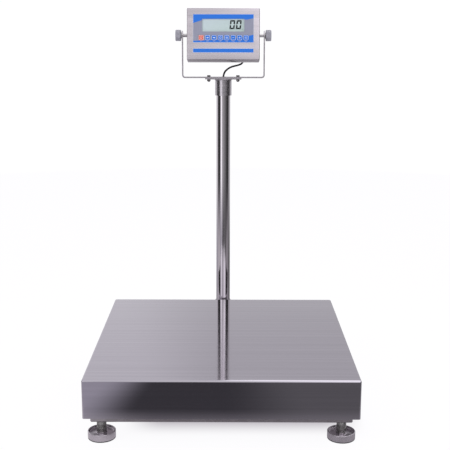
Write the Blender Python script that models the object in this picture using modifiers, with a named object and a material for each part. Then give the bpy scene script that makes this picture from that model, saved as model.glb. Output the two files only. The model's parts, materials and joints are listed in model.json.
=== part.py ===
"""Animal weighing scale: square platform, mast and tilting weight indicator.

Metres, +Z up. The floor is z = 0 and the origin is under the middle of the whole object's
footprint. X runs to the right, Y runs back towards the mast.
"""
import math

import bmesh
import bpy
from mathutils import Vector

for old in list(bpy.data.objects):
    bpy.data.objects.remove(old, do_unlink=True)

# ---------------------------------------------------------------- driving dimensions
GAP = 0.0003                 # clearance between pieces that touch
HOLE_FIT = 0.0003            # radial clearance of a fastener in its hole

# weighing pan
PAN_SIDE = 0.610
PAN_SKIRT = 0.090
PAN_SHEET = 0.002
PAN_EDGE = 0.004

# base frame of welded tube
FRAME_MARGIN = 0.015
FRAME_BOTTOM = 0.0455
TUBE_WIDTH = 0.040
TUBE_HEIGHT = 0.030
TUBE_WALL = 0.0025
FRAME_EDGE = 0.002
CROSS_BAR = 0.050

# load cell and the live frame on it
CELL_LENGTH = 0.150
CELL_WIDTH = 0.040
CELL_HEIGHT = 0.025
CELL_BOLT_INSET = 0.020
CELL_BOLT_EDGE = 0.0075
CELL_EYE_RADIUS = 0.008
CELL_EYE_SPREAD = 0.034
LOWER_SPACER = 0.006
UPPER_SPACER = 0.012
SPACER_LENGTH = 0.036
CELL_EYE_SLOT = 0.005
CELL_BOLT_RADIUS = 0.004
CELL_BOLT_HEAD = 0.0068
CELL_THREAD = 0.010
BUTTON_HEAD = 0.003
HEX_HEAD = 0.005
LIVE_INSET = 0.055
LIVE_BAR_INSET = 0.090
LIVE_BAR = 0.030
LIVE_HEIGHT = 0.0251
CUSHION_RADIUS = 0.012
CUSHION_INSET = 0.020
CUSHION_HEIGHT = 0.0044

# levelling feet
FOOT_INSET = 0.022
STUD_RADIUS = 0.006
STUD_TOP_ROOM = 0.0065
NUT_FLATS = 0.019
NUT_HEIGHT = 0.0085
NUT_RISE = 0.0280
STUD_HEX_HEIGHT = 0.0082
STUD_HEX_RISE = 0.0184
PAD_RADIUS = 0.0313
PAD_HEIGHT = 0.018
PAD_FLOOR = 0.012
PAD_RIM = 0.0027
PAD_BOSS_RADIUS = 0.0105
PAD_BOSS_HEIGHT = 0.016
PAD_SOCKET_FLOOR = 0.006
PAD_CHAMFER = 0.0015

LEVEL_RADIUS = 0.010
LEVEL_HEIGHT = 0.009

# mast
MAST_SETBACK = 0.030
MAST_RADIUS = 0.019
MAST_WALL = 0.0015
MAST_TOP = 0.7645
SOCKET_PLATE = 0.004
SOCKET_PLATE_WIDTH = 0.090
SOCKET_PLATE_BACK = 0.022
SOCKET_PLATE_INSET = 0.002
SOCKET_BOLT_GRIP = 0.008
SOCKET_WALL = 0.0027
SOCKET_TOP = 0.140
SOCKET_BOLT_EDGE = 0.017
SOCKET_BOLT_RADIUS = 0.004
CABLE_PORT_RADIUS = 0.0045
CABLE_PORT_Z = 0.0553

# head: collar, flange and bail
COLLAR_LENGTH = 0.0435
COLLAR_WALL = 0.0032
FLANGE_WIDTH = 0.098
FLANGE_DEPTH = 0.040
FLANGE_SHEET = 0.003
BAIL_BOLT_EDGE = 0.0095
BAIL_SIDE_GAP = 0.0115
BAIL_SHEET = 0.003
BAIL_DEPTH = 0.025
BAIL_BEND = 0.005
PIVOT_RISE = 0.1129
HEAD_HOLE_RADIUS = 0.009
COLLAR_SCREW_RADIUS = 0.003
COLLAR_SCREW_HEAD = 0.0055
BAIL_BOLT_RADIUS = 0.003
BAIL_BOLT_FLATS = 0.0055
BAIL_BOLT_HEAD = 0.004
BAIL_NUT = 0.005
BAIL_BOLT_TAIL = 0.002

# indicator
REST_TILT = math.radians(10)
CASE_WIDTH = 0.195
CASE_HEIGHT = 0.138
CASE_DEPTH = 0.048
CASE_SHEET = 0.0015
CASE_EDGE = 0.0015
REAR_DEPTH = 0.008
OVERLAY_SHEET = 0.0006
OVERLAY_SIDE_MARGIN = 0.0163
OVERLAY_TOP_MARGIN = 0.0165
OVERLAY_BOTTOM_MARGIN = 0.046
WINDOW_LEFT = 0.024
WINDOW_RIGHT = 0.0249
WINDOW_DROP = 0.0125
WINDOW_FOOT = 0.029
PANEL_MARGIN = 0.003
PANEL_DEPTH = 0.006
KEY_COUNT = 8
KEY_SPACE = 0.0028
KEY_FIRST = 0.02205
KEY_LAST = 0.02065
KEY_RISE = 0.013
KEY_DEPTH = 0.0036
KEY_PROUD = 0.0004
KEY_EDGE = 0.001
KEY_FIT = 0.0004
BOARD_SHEET = 0.0016
BOARD_SIDE_MARGIN = 0.0195
BOARD_END_MARGIN = 0.021
BOARD_Z = 0.005
BATTERY = (0.090, 0.014, 0.047)
BATTERY_EDGE = 0.001
GLAND_INSET = 0.0415
GLAND_RISE = 0.024
GLAND_RADIUS = 0.008
GLAND_LENGTH = 0.016
INLET_RADIUS = 0.006
INLET_SOCKET_RADIUS = 0.00275
INLET_FLANGE = 0.002
PANEL_HOLE_RADIUS = 0.0053

# pivots
PIVOT_RADIUS = 0.003
SPACER_RADIUS = 0.0045
PIVOT_NUT_RADIUS = 0.005
PIVOT_NUT = 0.003
WASHER_RADIUS = 0.008
WASHER = 0.0015
KNOB_RADIUS = 0.0150
KNOB_LENGTH = 0.0150
KNOB_LOBES = 6
KNOB_LOBE_DEPTH = 0.0009
KNOB_EDGE = 0.0012
KNOB_BORE = 0.011

CABLE_RADIUS = 0.0025
CABLE_SPACING = 0.012

# ---------------------------------------------------------------- derived sizes and places
FRAME_SIDE = PAN_SIDE - 2 * FRAME_MARGIN
FOOT_SPREAD = FRAME_SIDE - 2 * FOOT_INSET
LIVE_SIDE = FRAME_SIDE - 2 * LIVE_INSET
LIVE_SPREAD = FRAME_SIDE - 2 * LIVE_BAR_INSET
CELL_BOLT_SPREAD = CELL_WIDTH - 2 * CELL_BOLT_EDGE
SOCKET_BOLT_SPREAD = SOCKET_PLATE_WIDTH - 2 * SOCKET_BOLT_EDGE
BAIL_BOLT_SPREAD = FLANGE_WIDTH - 2 * BAIL_BOLT_EDGE
BAIL_INNER = CASE_WIDTH + 2 * BAIL_SIDE_GAP
OVERLAY_WIDTH = CASE_WIDTH - 2 * OVERLAY_SIDE_MARGIN
OVERLAY_HEIGHT = CASE_HEIGHT - OVERLAY_TOP_MARGIN - OVERLAY_BOTTOM_MARGIN
WINDOW_WIDTH = OVERLAY_WIDTH - WINDOW_LEFT - WINDOW_RIGHT
WINDOW_HEIGHT = OVERLAY_HEIGHT - WINDOW_DROP - WINDOW_FOOT
KEY_PITCH = (OVERLAY_WIDTH - KEY_FIRST - KEY_LAST) / (KEY_COUNT - 1)
KEY_SIDE = KEY_PITCH - KEY_SPACE
BOARD_WIDTH = CASE_WIDTH - 2 * BOARD_SIDE_MARGIN
BOARD_HEIGHT = CASE_HEIGHT - 2 * BOARD_END_MARGIN
GLAND_X = CASE_WIDTH / 2 - GLAND_INSET
GLAND_Z = GLAND_RISE - CASE_HEIGHT / 2
INLET_X = -GLAND_X
head_rear = CASE_DEPTH / 2 * math.cos(REST_TILT) + CASE_HEIGHT / 2 * math.sin(REST_TILT)
mast_offset = PAN_SIDE / 2 + MAST_SETBACK
PLATFORM_Y = -(mast_offset + head_rear - PAN_SIDE / 2) / 2
MAST_Y = PLATFORM_Y + mast_offset

frame_top = FRAME_BOTTOM + TUBE_HEIGHT
frame_half = FRAME_SIDE / 2
cell_bolt_y = CELL_LENGTH / 2 - CELL_BOLT_INSET
cell_bottom = frame_top + LOWER_SPACER
cell_top = cell_bottom + CELL_HEIGHT
live_bottom = cell_top + UPPER_SPACER
live_top = live_bottom + LIVE_HEIGHT
PAN_TOP = live_top + CUSHION_HEIGHT + PAN_SHEET
collar_top = MAST_TOP + GAP
flange_top = collar_top + FLANGE_SHEET
bail_bottom = flange_top + GAP
PIVOT_HEIGHT = bail_bottom + PIVOT_RISE
bail_outer = BAIL_INNER / 2 + BAIL_SHEET
socket_bolt_y = PLATFORM_Y + frame_half - TUBE_WIDTH / 2
case_front_y = -CASE_DEPTH / 2
case_rear_y = CASE_DEPTH / 2
overlay_left = -OVERLAY_WIDTH / 2
overlay_top = CASE_HEIGHT / 2 - OVERLAY_TOP_MARGIN
window_x = overlay_left + WINDOW_LEFT + WINDOW_WIDTH / 2
window_z = overlay_top - WINDOW_DROP - WINDOW_HEIGHT / 2
key_z = overlay_top - OVERLAY_HEIGHT + KEY_RISE
panel_front = case_front_y + CASE_SHEET + GAP
corners = [(-1, -1), (1, -1), (1, 1), (-1, 1)]

# ---------------------------------------------------------------- scene helpers
model = bpy.data.collections.new("animal_weighing_scale")
cutters = bpy.data.collections.new("cutters")
bpy.context.scene.collection.children.link(model)
bpy.context.scene.collection.children.link(cutters)


def material(name, colour, metallic, roughness):
    made = bpy.data.materials.new(name)
    made.use_nodes = True
    shader = made.node_tree.nodes["Principled BSDF"]
    shader.inputs["Base Color"].default_value = (*colour, 1.0)
    shader.inputs["Metallic"].default_value = metallic
    shader.inputs["Roughness"].default_value = roughness
    return made


BRUSHED = material("brushed_stainless", (0.62, 0.59, 0.61), 1.0, 0.38)
POLISHED = material("polished_stainless", (0.66, 0.64, 0.65), 1.0, 0.15)
ZINC = material("zinc_plated_steel", (0.55, 0.55, 0.54), 1.0, 0.35)
GALVANISED = material("painted_frame_steel", (0.42, 0.42, 0.44), 0.6, 0.5)
CAST = material("cast_aluminium", (0.55, 0.55, 0.56), 1.0, 0.5)
CELL = material("load_cell_aluminium", (0.70, 0.70, 0.72), 1.0, 0.3)
RUBBER = material("black_rubber", (0.03, 0.03, 0.03), 0.0, 0.7)
GREY_PLASTIC = material("grey_knob_plastic", (0.40, 0.40, 0.43), 0.0, 0.5)
BLACK_PLASTIC = material("black_plastic", (0.03, 0.03, 0.035), 0.0, 0.4)
OVERLAY = material("printed_overlay", (0.03, 0.18, 0.70), 0.0, 0.35)
BLUE_KEY = material("blue_key", (0.03, 0.18, 0.70), 0.0, 0.35)
RED_KEY = material("red_key", (0.80, 0.09, 0.05), 0.0, 0.35)
LCD = material("lcd_glass", (0.55, 0.62, 0.60), 0.0, 0.1)
BOARD = material("circuit_board", (0.02, 0.20, 0.07), 0.0, 0.5)
BATTERY_WRAP = material("battery_wrap", (0.10, 0.10, 0.12), 0.0, 0.5)
VIAL = material("level_vial", (0.55, 0.75, 0.20), 0.0, 0.1)


def empty(name, location, parent=None, tilt=0.0):
    made = bpy.data.objects.new(name, None)
    made.location = location
    made.rotation_euler = (tilt, 0.0, 0.0)
    made.parent = parent
    model.objects.link(made)
    return made


def add(name, mesh, location, finish=None, parent=None, turn=(0.0, 0.0, 0.0)):
    """Link a mesh as a sub-part, or as a hidden guide when it has no finish."""
    made = bpy.data.objects.new(name, mesh)
    made.location = location
    made.rotation_euler = turn
    made.parent = parent
    if finish is None:
        cutters.objects.link(made)
        made.hide_render = True
        made.display_type = "WIRE"
    else:
        model.objects.link(made)
        mesh.materials.append(finish)
    return made


def finished_mesh(shape, name, smooth=False):
    mesh = bpy.data.meshes.new(name)
    shape.to_mesh(mesh)
    shape.free()
    if smooth:
        mesh.shade_smooth()
        mesh.set_sharp_from_angle(angle=math.radians(35))
    return mesh


def box(name, size, centre, finish=None, parent=None, edge=0.0, segments=1):
    shape = bmesh.new()
    bmesh.ops.create_cube(shape, size=1.0)
    bmesh.ops.scale(shape, vec=Vector(size), verts=shape.verts)
    made = add(name, finished_mesh(shape, name), centre, finish, parent)
    if edge:
        rounded(made, edge, segments)
    return made


def cylinder(name, radius, length, centre, finish=None, parent=None, sides=24, turn=(0, 0, 0)):
    shape = bmesh.new()
    bmesh.ops.create_cone(shape, cap_ends=True, segments=sides, radius1=radius,
                          radius2=radius, depth=length)
    return add(name, finished_mesh(shape, name, True), centre, finish, parent, turn)


def turned(name, profile, centre, finish=None, parent=None, sides=24, turn=(0, 0, 0), ring=False):
    """Revolve a profile of (radius, height) points, listed down its outer side, about Z."""
    shape = bmesh.new()
    points = [shape.verts.new((radius, 0.0, height)) for radius, height in profile]
    pairs = list(zip(points, points[1:]))
    if ring:
        pairs.append((points[-1], points[0]))
    for pair in pairs:
        shape.edges.new(pair)
    mesh = finished_mesh(shape, name)
    made = add(name, mesh, centre, finish, parent, turn)
    screw = made.modifiers.new("turn", "SCREW")
    screw.steps = sides
    screw.render_steps = sides
    screw.use_merge_vertices = True
    screw.merge_threshold = 0.00001
    screw.use_smooth_shade = False
    return made


def rounded(target, width, segments=1):
    bevel = target.modifiers.new("edge", "BEVEL")
    bevel.width = width
    bevel.segments = segments
    bevel.limit_method = "ANGLE"
    bevel.angle_limit = math.radians(50)


def boolean(target, other, operation):
    change = target.modifiers.new(other.name, "BOOLEAN")
    change.operation = operation
    change.solver = "EXACT"
    change.object = other


def cut(target, *others):
    for other in others:
        boolean(target, other, "DIFFERENCE")


def join(target, *others):
    for other in others:
        boolean(target, other, "UNION")


def smooth_route(points, spacing):
    """Points along a smooth curve through the route's own points, for a cable."""
    knots = [Vector(point) for point in points]
    spans = [(b - a).length for a, b in zip(knots, knots[1:])]
    slopes = [(knots[1] - knots[0]) / spans[0]]
    for i in range(1, len(knots) - 1):
        before = (knots[i] - knots[i - 1]) / spans[i - 1]
        after = (knots[i + 1] - knots[i]) / spans[i]
        slopes.append((before * spans[i] + after * spans[i - 1]) / (spans[i - 1] + spans[i]))
    slopes.append((knots[-1] - knots[-2]) / spans[-1])
    route = [knots[0]]
    for i, span in enumerate(spans):
        count = max(1, round(span / spacing))
        for step in range(1, count + 1):
            t = step / count
            route.append(knots[i] * (2 * t**3 - 3 * t**2 + 1)
                         + slopes[i] * span * (t**3 - 2 * t**2 + t)
                         + knots[i + 1] * (3 * t**2 - 2 * t**3)
                         + slopes[i + 1] * span * (t**3 - t**2))
    return route


def cable(name, points, radius, spacing, finish):
    curve = bpy.data.curves.new(name, "CURVE")
    curve.dimensions = "3D"
    curve.bevel_depth = radius
    curve.bevel_resolution = 2
    curve.use_fill_caps = True
    route = smooth_route(points, spacing)
    spline = curve.splines.new("POLY")
    spline.points.add(len(route) - 1)
    for place, point in zip(spline.points, route):
        place.co = (*point, 1.0)
    made = bpy.data.objects.new(name, curve)
    model.objects.link(made)
    curve.materials.append(finish)
    return made


def bolt(name, radius, head_radius, head_height, length, centre, finish, parent=None,
         turn=(0, 0, 0), sides=12):
    """Bolt whose head's bearing face is at its origin and whose shank runs down -Z."""
    profile = [(0.0, head_height), (head_radius, head_height), (head_radius, 0.0),
               (radius, 0.0), (radius, -length), (0.0, -length)]
    return turned(name, profile, centre, finish, parent, sides, turn)


def bore(target, radius, length, centre, parent=None, turn=(0, 0, 0), sides=12):
    cut(target, cylinder(target.name + "_bore", radius, length, centre, None, parent, sides, turn))


def pocket(target, size, centre, parent=None):
    cut(target, box(target.name + "_pocket", size, centre, None, parent))


def tray(name, size, centre, open_side, sheet, edge, segments, finish, parent=None):
    """Thin-walled box without the face on its open side."""
    shape = bmesh.new()
    bmesh.ops.create_cube(shape, size=1.0)
    bmesh.ops.scale(shape, vec=Vector(size), verts=shape.verts)
    mouth = [face for face in shape.faces if face.normal.dot(Vector(open_side)) > 0.5]
    bmesh.ops.delete(shape, geom=mouth, context="FACES")
    made = add(name, finished_mesh(shape, name), centre, finish, parent)
    rounded(made, edge, segments)
    wall = made.modifiers.new("wall", "SOLIDIFY")
    wall.thickness = sheet
    wall.offset = -1.0
    wall.use_even_offset = True
    return made


def flat_piece(name, outline, thickness, centre, finish, parent=None, turn=(0, 0, 0)):
    """Extrude a closed flat outline, then turn the curve into a welded mesh."""
    curve = bpy.data.curves.new(name + "_outline", "CURVE")
    curve.dimensions = "2D"
    curve.fill_mode = "BOTH"
    curve.extrude = thickness / 2
    spline = curve.splines.new("POLY")
    spline.points.add(len(outline) - 1)
    for place, (x, y) in zip(spline.points, outline):
        place.co = (x, y, 0.0, 1.0)
    spline.use_cyclic_u = True
    guide = bpy.data.objects.new(name + "_outline", curve)
    guide.location = centre
    guide.rotation_euler = turn
    guide.parent = parent
    cutters.objects.link(guide)
    bpy.context.view_layer.update()
    evaluated = guide.evaluated_get(bpy.context.evaluated_depsgraph_get())
    mesh = bpy.data.meshes.new_from_object(evaluated)
    mesh.name = name
    shape = bmesh.new()
    shape.from_mesh(mesh)
    bmesh.ops.remove_doubles(shape, verts=shape.verts, dist=0.00001)
    shape.to_mesh(mesh)
    shape.free()
    mesh.materials.clear()
    made = bpy.data.objects.new(name, mesh)
    made.parent = parent
    made.matrix_world = guide.matrix_world.copy()
    model.objects.link(made)
    mesh.materials.append(finish)
    bpy.data.objects.remove(guide, do_unlink=True)
    return made


def arc(centre, radius, start, end, steps=4):
    """Points of a flat arc, with its angles in quarter turns."""
    angles = [math.pi / 2 * (start + (end - start) * i / steps) for i in range(steps + 1)]
    return [(centre[0] + radius * math.cos(a), centre[1] + radius * math.sin(a)) for a in angles]


# ---------------------------------------------------------------- platform
def frame_bay(front, margin, height):
    """Size and centre of the gap in the base frame before or behind its cross bar."""
    rail = frame_half - TUBE_WIDTH
    bar_front = cell_bolt_y - CROSS_BAR / 2
    bar_rear = cell_bolt_y + CROSS_BAR / 2
    low, high = (-rail, bar_front) if front else (bar_rear, rail)
    size = (2 * (rail + margin), high - low + 2 * margin, height)
    return size, (0.0, PLATFORM_Y + (low + high) / 2, FRAME_BOTTOM + TUBE_HEIGHT / 2)


def base_frame():
    middle = (0.0, PLATFORM_Y, FRAME_BOTTOM + TUBE_HEIGHT / 2)
    frame = box("base_frame", (FRAME_SIDE, FRAME_SIDE, TUBE_HEIGHT), middle, GALVANISED,
                edge=FRAME_EDGE)
    inside = FRAME_SIDE - 2 * TUBE_WALL
    hollow = box("tube_hollow", (inside, inside, TUBE_HEIGHT - 2 * TUBE_WALL), middle)
    for front in (True, False):
        pocket(frame, *frame_bay(front, 0.0, TUBE_HEIGHT * 2))
        pocket(hollow, *frame_bay(front, TUBE_WALL, TUBE_HEIGHT * 2))
    cut(frame, hollow)
    wall_middle = FRAME_BOTTOM + TUBE_WALL / 2
    for side_x, side_y in corners:
        place = (side_x * FOOT_SPREAD / 2, PLATFORM_Y + side_y * FOOT_SPREAD / 2, wall_middle)
        bore(frame, STUD_RADIUS + HOLE_FIT, TUBE_WALL * 3, place)
    for side in (-1, 1):
        bolt_x = side * CELL_BOLT_SPREAD / 2
        bore(frame, CELL_BOLT_RADIUS + HOLE_FIT, TUBE_HEIGHT * 2,
             (bolt_x, PLATFORM_Y + cell_bolt_y, middle[2]))
        bore(frame, SOCKET_BOLT_RADIUS + HOLE_FIT, TUBE_WALL * 3,
             (side * SOCKET_BOLT_SPREAD / 2, socket_bolt_y, wall_middle))


def load_cell():
    cell = box("load_cell", (CELL_WIDTH, CELL_LENGTH, CELL_HEIGHT),
               (0.0, PLATFORM_Y, cell_bottom + CELL_HEIGHT / 2), CELL)
    middle_z = cell_bottom + CELL_HEIGHT / 2
    across = (0.0, math.pi / 2, 0.0)
    for side in (-1, 1):
        bore(cell, CELL_EYE_RADIUS, CELL_WIDTH * 2,
             (0.0, PLATFORM_Y + side * CELL_EYE_SPREAD / 2, middle_z), None, across, 16)
    pocket(cell, (CELL_WIDTH * 2, CELL_EYE_SPREAD, CELL_EYE_SLOT), (0.0, PLATFORM_Y, middle_z))
    lower_y = PLATFORM_Y + cell_bolt_y
    upper_y = PLATFORM_Y - cell_bolt_y
    for name, y, low, height in (("lower", lower_y, frame_top, LOWER_SPACER),
                                 ("upper", upper_y, cell_top, UPPER_SPACER)):
        spacer = box("load_cell_spacer_" + name, (CELL_WIDTH, SPACER_LENGTH, height - 2 * GAP),
                     (0.0, y, low + height / 2), ZINC)
        for side in (-1, 1):
            bore(spacer, CELL_BOLT_RADIUS + HOLE_FIT, height * 2,
                 (side * CELL_BOLT_SPREAD / 2, y, low + height / 2))
    for number, side in enumerate((-1, 1)):
        x = side * CELL_BOLT_SPREAD / 2
        bore(cell, CELL_BOLT_RADIUS + HOLE_FIT, 2 * CELL_THREAD, (x, lower_y, cell_bottom))
        bore(cell, CELL_BOLT_RADIUS + HOLE_FIT, 2 * CELL_THREAD, (x, upper_y, cell_top))
        grip = CELL_THREAD - HOLE_FIT
        bolt(f"load_cell_bolt_{number + 1}", CELL_BOLT_RADIUS, CELL_BOLT_HEAD, BUTTON_HEAD,
             LIVE_HEIGHT + UPPER_SPACER + grip, (x, upper_y, live_top + GAP), ZINC)
        bolt(f"load_cell_bolt_{number + 3}", CELL_BOLT_RADIUS, CELL_BOLT_HEAD, HEX_HEAD,
             TUBE_HEIGHT + LOWER_SPACER + grip, (x, lower_y, FRAME_BOTTOM - GAP), ZINC,
             turn=(math.pi, 0.0, 0.0))


def live_frame():
    middle_z = live_bottom + LIVE_HEIGHT / 2
    frame = box("live_frame", (LIVE_SPREAD + LIVE_BAR, LIVE_SIDE, LIVE_HEIGHT),
                (0.0, PLATFORM_Y, middle_z), CAST, edge=FRAME_EDGE)
    bar_front = -cell_bolt_y - CROSS_BAR / 2
    bar_rear = -cell_bolt_y + CROSS_BAR / 2
    for low, high in ((-LIVE_SIDE, bar_front), (bar_rear, LIVE_SIDE)):
        pocket(frame, (LIVE_SPREAD - LIVE_BAR, high - low, LIVE_HEIGHT * 2),
               (0.0, PLATFORM_Y + (low + high) / 2, middle_z))
    for side in (-1, 1):
        bore(frame, CELL_BOLT_RADIUS + HOLE_FIT, LIVE_HEIGHT * 2,
             (side * CELL_BOLT_SPREAD / 2, PLATFORM_Y - cell_bolt_y, middle_z))
    cushion_y = LIVE_SIDE / 2 - CUSHION_INSET
    for number, (side_x, side_y) in enumerate(corners):
        cylinder(f"pan_cushion_{number + 1}", CUSHION_RADIUS, CUSHION_HEIGHT - 2 * GAP,
                 (side_x * LIVE_SPREAD / 2, PLATFORM_Y + side_y * cushion_y,
                  live_top + CUSHION_HEIGHT / 2), RUBBER, sides=16)


def feet():
    pad = [(0.0, PAD_SOCKET_FLOOR), (STUD_RADIUS + HOLE_FIT, PAD_SOCKET_FLOOR),
           (STUD_RADIUS + HOLE_FIT, PAD_BOSS_HEIGHT), (PAD_BOSS_RADIUS, PAD_BOSS_HEIGHT),
           (PAD_BOSS_RADIUS + 0.002, PAD_FLOOR), (PAD_RADIUS - PAD_RIM - 0.002, PAD_FLOOR),
           (PAD_RADIUS - PAD_RIM, PAD_HEIGHT), (PAD_RADIUS, PAD_HEIGHT),
           (PAD_RADIUS, PAD_CHAMFER), (PAD_RADIUS - PAD_CHAMFER, 0.0), (0.0, 0.0)]
    stud_top = frame_top - TUBE_WALL - STUD_TOP_ROOM
    stud_low = PAD_SOCKET_FLOOR + GAP
    for number, (side_x, side_y) in enumerate(corners):
        x = side_x * FOOT_SPREAD / 2
        y = PLATFORM_Y + side_y * FOOT_SPREAD / 2
        axis = empty(f"foot_{number + 1}_axis", (x, y, 0.0))
        turned(f"foot_pad_{number + 1}", pad, (0, 0, 0), ZINC, axis, 20)
        stud = cylinder(f"foot_stud_{number + 1}", STUD_RADIUS, stud_top - stud_low,
                        (0.0, 0.0, (stud_top + stud_low) / 2), ZINC, axis, 16)
        corner = NUT_FLATS / math.sqrt(3)
        face_front = (0.0, 0.0, math.pi / 6)
        join(stud, cylinder("stud_hexagon", corner, STUD_HEX_HEIGHT,
                            (0.0, 0.0, STUD_HEX_RISE + STUD_HEX_HEIGHT / 2), None, axis, 6,
                            face_front))
        nut_z = NUT_RISE + NUT_HEIGHT / 2
        nut = cylinder(f"foot_nut_{number + 1}", corner, NUT_HEIGHT, (0.0, 0.0, nut_z), ZINC,
                       axis, 6, face_front)
        bore(nut, STUD_RADIUS + HOLE_FIT, NUT_HEIGHT * 2, (0.0, 0.0, nut_z), axis, sides=16)


def platform():
    centre_z = PAN_TOP - PAN_SKIRT / 2
    tray("weighing_pan", (PAN_SIDE, PAN_SIDE, PAN_SKIRT), (0.0, PLATFORM_Y, centre_z),
         (0, 0, -1), PAN_SHEET, PAN_EDGE, 2, BRUSHED)
    base_frame()
    load_cell()
    live_frame()
    feet()
    cylinder("spirit_level", LEVEL_RADIUS, LEVEL_HEIGHT,
             (0.0, PLATFORM_Y - frame_half + TUBE_WIDTH / 2, frame_top + GAP + LEVEL_HEIGHT / 2),
             VIAL, sides=16)


# ---------------------------------------------------------------- mast
def mast():
    plate_top = FRAME_BOTTOM - GAP
    plate_front = PLATFORM_Y + frame_half - TUBE_WIDTH + SOCKET_PLATE_INSET
    plate_rear = MAST_Y + SOCKET_PLATE_BACK
    plate_middle = (plate_front + plate_rear) / 2
    socket = box("mast_socket", (SOCKET_PLATE_WIDTH, plate_rear - plate_front, SOCKET_PLATE),
                 (0.0, plate_middle, plate_top - SOCKET_PLATE / 2), GALVANISED)
    foot = plate_top - SOCKET_PLATE / 2
    join(socket, cylinder("socket_tube", MAST_RADIUS + HOLE_FIT + SOCKET_WALL, SOCKET_TOP - foot,
                          (0.0, MAST_Y, (SOCKET_TOP + foot) / 2), sides=32))
    depth = SOCKET_TOP - plate_top
    bore(socket, MAST_RADIUS + HOLE_FIT, depth * 2, (0.0, MAST_Y, SOCKET_TOP), sides=32)
    along = (math.pi / 2, 0.0, 0.0)
    port = (0.0, MAST_Y - MAST_RADIUS, CABLE_PORT_Z)
    bore(socket, CABLE_PORT_RADIUS, MAST_RADIUS / 2, port, None, along, 16)
    tube = turned("mast_tube", [(MAST_RADIUS - MAST_WALL, MAST_TOP), (MAST_RADIUS, MAST_TOP),
                                (MAST_RADIUS, plate_top + GAP),
                                (MAST_RADIUS - MAST_WALL, plate_top + GAP)],
                  (0.0, MAST_Y, 0.0), POLISHED, None, 32, ring=True)
    bore(tube, CABLE_PORT_RADIUS, MAST_RADIUS / 2, port, None, along, 16)
    for number, side in enumerate((-1, 1)):
        x = side * SOCKET_BOLT_SPREAD / 2
        bore(socket, SOCKET_BOLT_RADIUS + HOLE_FIT, SOCKET_PLATE * 3,
             (x, socket_bolt_y, plate_top - SOCKET_PLATE / 2))
        bolt(f"mast_bolt_{number + 1}", SOCKET_BOLT_RADIUS, CELL_BOLT_HEAD, HEX_HEAD,
             SOCKET_PLATE + TUBE_WALL + SOCKET_BOLT_GRIP,
             (x, socket_bolt_y, plate_top - SOCKET_PLATE - GAP), ZINC, turn=(math.pi, 0.0, 0.0))


# ---------------------------------------------------------------- head
def collar(head):
    foot = collar_top - COLLAR_LENGTH
    sleeve = cylinder("head_collar", MAST_RADIUS + HOLE_FIT + COLLAR_WALL,
                      COLLAR_LENGTH + FLANGE_SHEET / 2,
                      (0.0, 0.0, foot + (COLLAR_LENGTH + FLANGE_SHEET / 2) / 2), BRUSHED, head, 32)
    join(sleeve, box("flange", (FLANGE_WIDTH, FLANGE_DEPTH, FLANGE_SHEET),
                     (0.0, 0.0, collar_top + FLANGE_SHEET / 2), None, head))
    bore(sleeve, MAST_RADIUS + HOLE_FIT, COLLAR_LENGTH * 2, (0.0, 0.0, foot), head, sides=32)
    bore(sleeve, HEAD_HOLE_RADIUS, FLANGE_SHEET * 4, (0.0, 0.0, collar_top), head, sides=16)
    back = MAST_RADIUS + HOLE_FIT + COLLAR_WALL
    screw_z = foot + COLLAR_LENGTH / 2
    bore(sleeve, COLLAR_SCREW_RADIUS + HOLE_FIT, COLLAR_WALL * 3, (0.0, back, screw_z), head,
         (math.pi / 2, 0.0, 0.0))
    bolt("collar_screw", COLLAR_SCREW_RADIUS, COLLAR_SCREW_HEAD, HEX_HEAD, COLLAR_WALL,
         (0.0, back + GAP, screw_z), ZINC, head, (-math.pi / 2, 0.0, 0.0))
    return sleeve


def bail(head):
    inner = BAIL_INNER / 2
    floor = bail_bottom + BAIL_SHEET
    outer_bend = BAIL_BEND + BAIL_SHEET
    outline = [(bail_outer, PIVOT_HEIGHT)]
    outline += arc((bail_outer - outer_bend, bail_bottom + outer_bend), outer_bend, 0, -1)
    outline += arc((outer_bend - bail_outer, bail_bottom + outer_bend), outer_bend, -1, -2)
    outline += [(-bail_outer, PIVOT_HEIGHT), (-inner, PIVOT_HEIGHT)]
    outline += arc((BAIL_BEND - inner, floor + BAIL_BEND), BAIL_BEND, -2, -1)
    outline += arc((inner - BAIL_BEND, floor + BAIL_BEND), BAIL_BEND, -1, 0)
    outline += [(inner, PIVOT_HEIGHT)]
    strap = flat_piece("bail", outline, BAIL_DEPTH, (0, 0, 0), BRUSHED, head,
                       (math.pi / 2, 0.0, 0.0))
    across = (0.0, math.pi / 2, 0.0)
    for side in (-1, 1):
        join(strap, cylinder("bail_eye", BAIL_DEPTH / 2, BAIL_SHEET,
                             (side * (inner + BAIL_SHEET / 2), 0.0, PIVOT_HEIGHT), None, head,
                             24, across))
    bore(strap, PIVOT_RADIUS + HOLE_FIT, bail_outer * 3, (0.0, 0.0, PIVOT_HEIGHT), head, across, 16)
    bore(strap, HEAD_HOLE_RADIUS, BAIL_SHEET * 4, (0.0, 0.0, bail_bottom), head, sides=16)
    return strap


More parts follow.
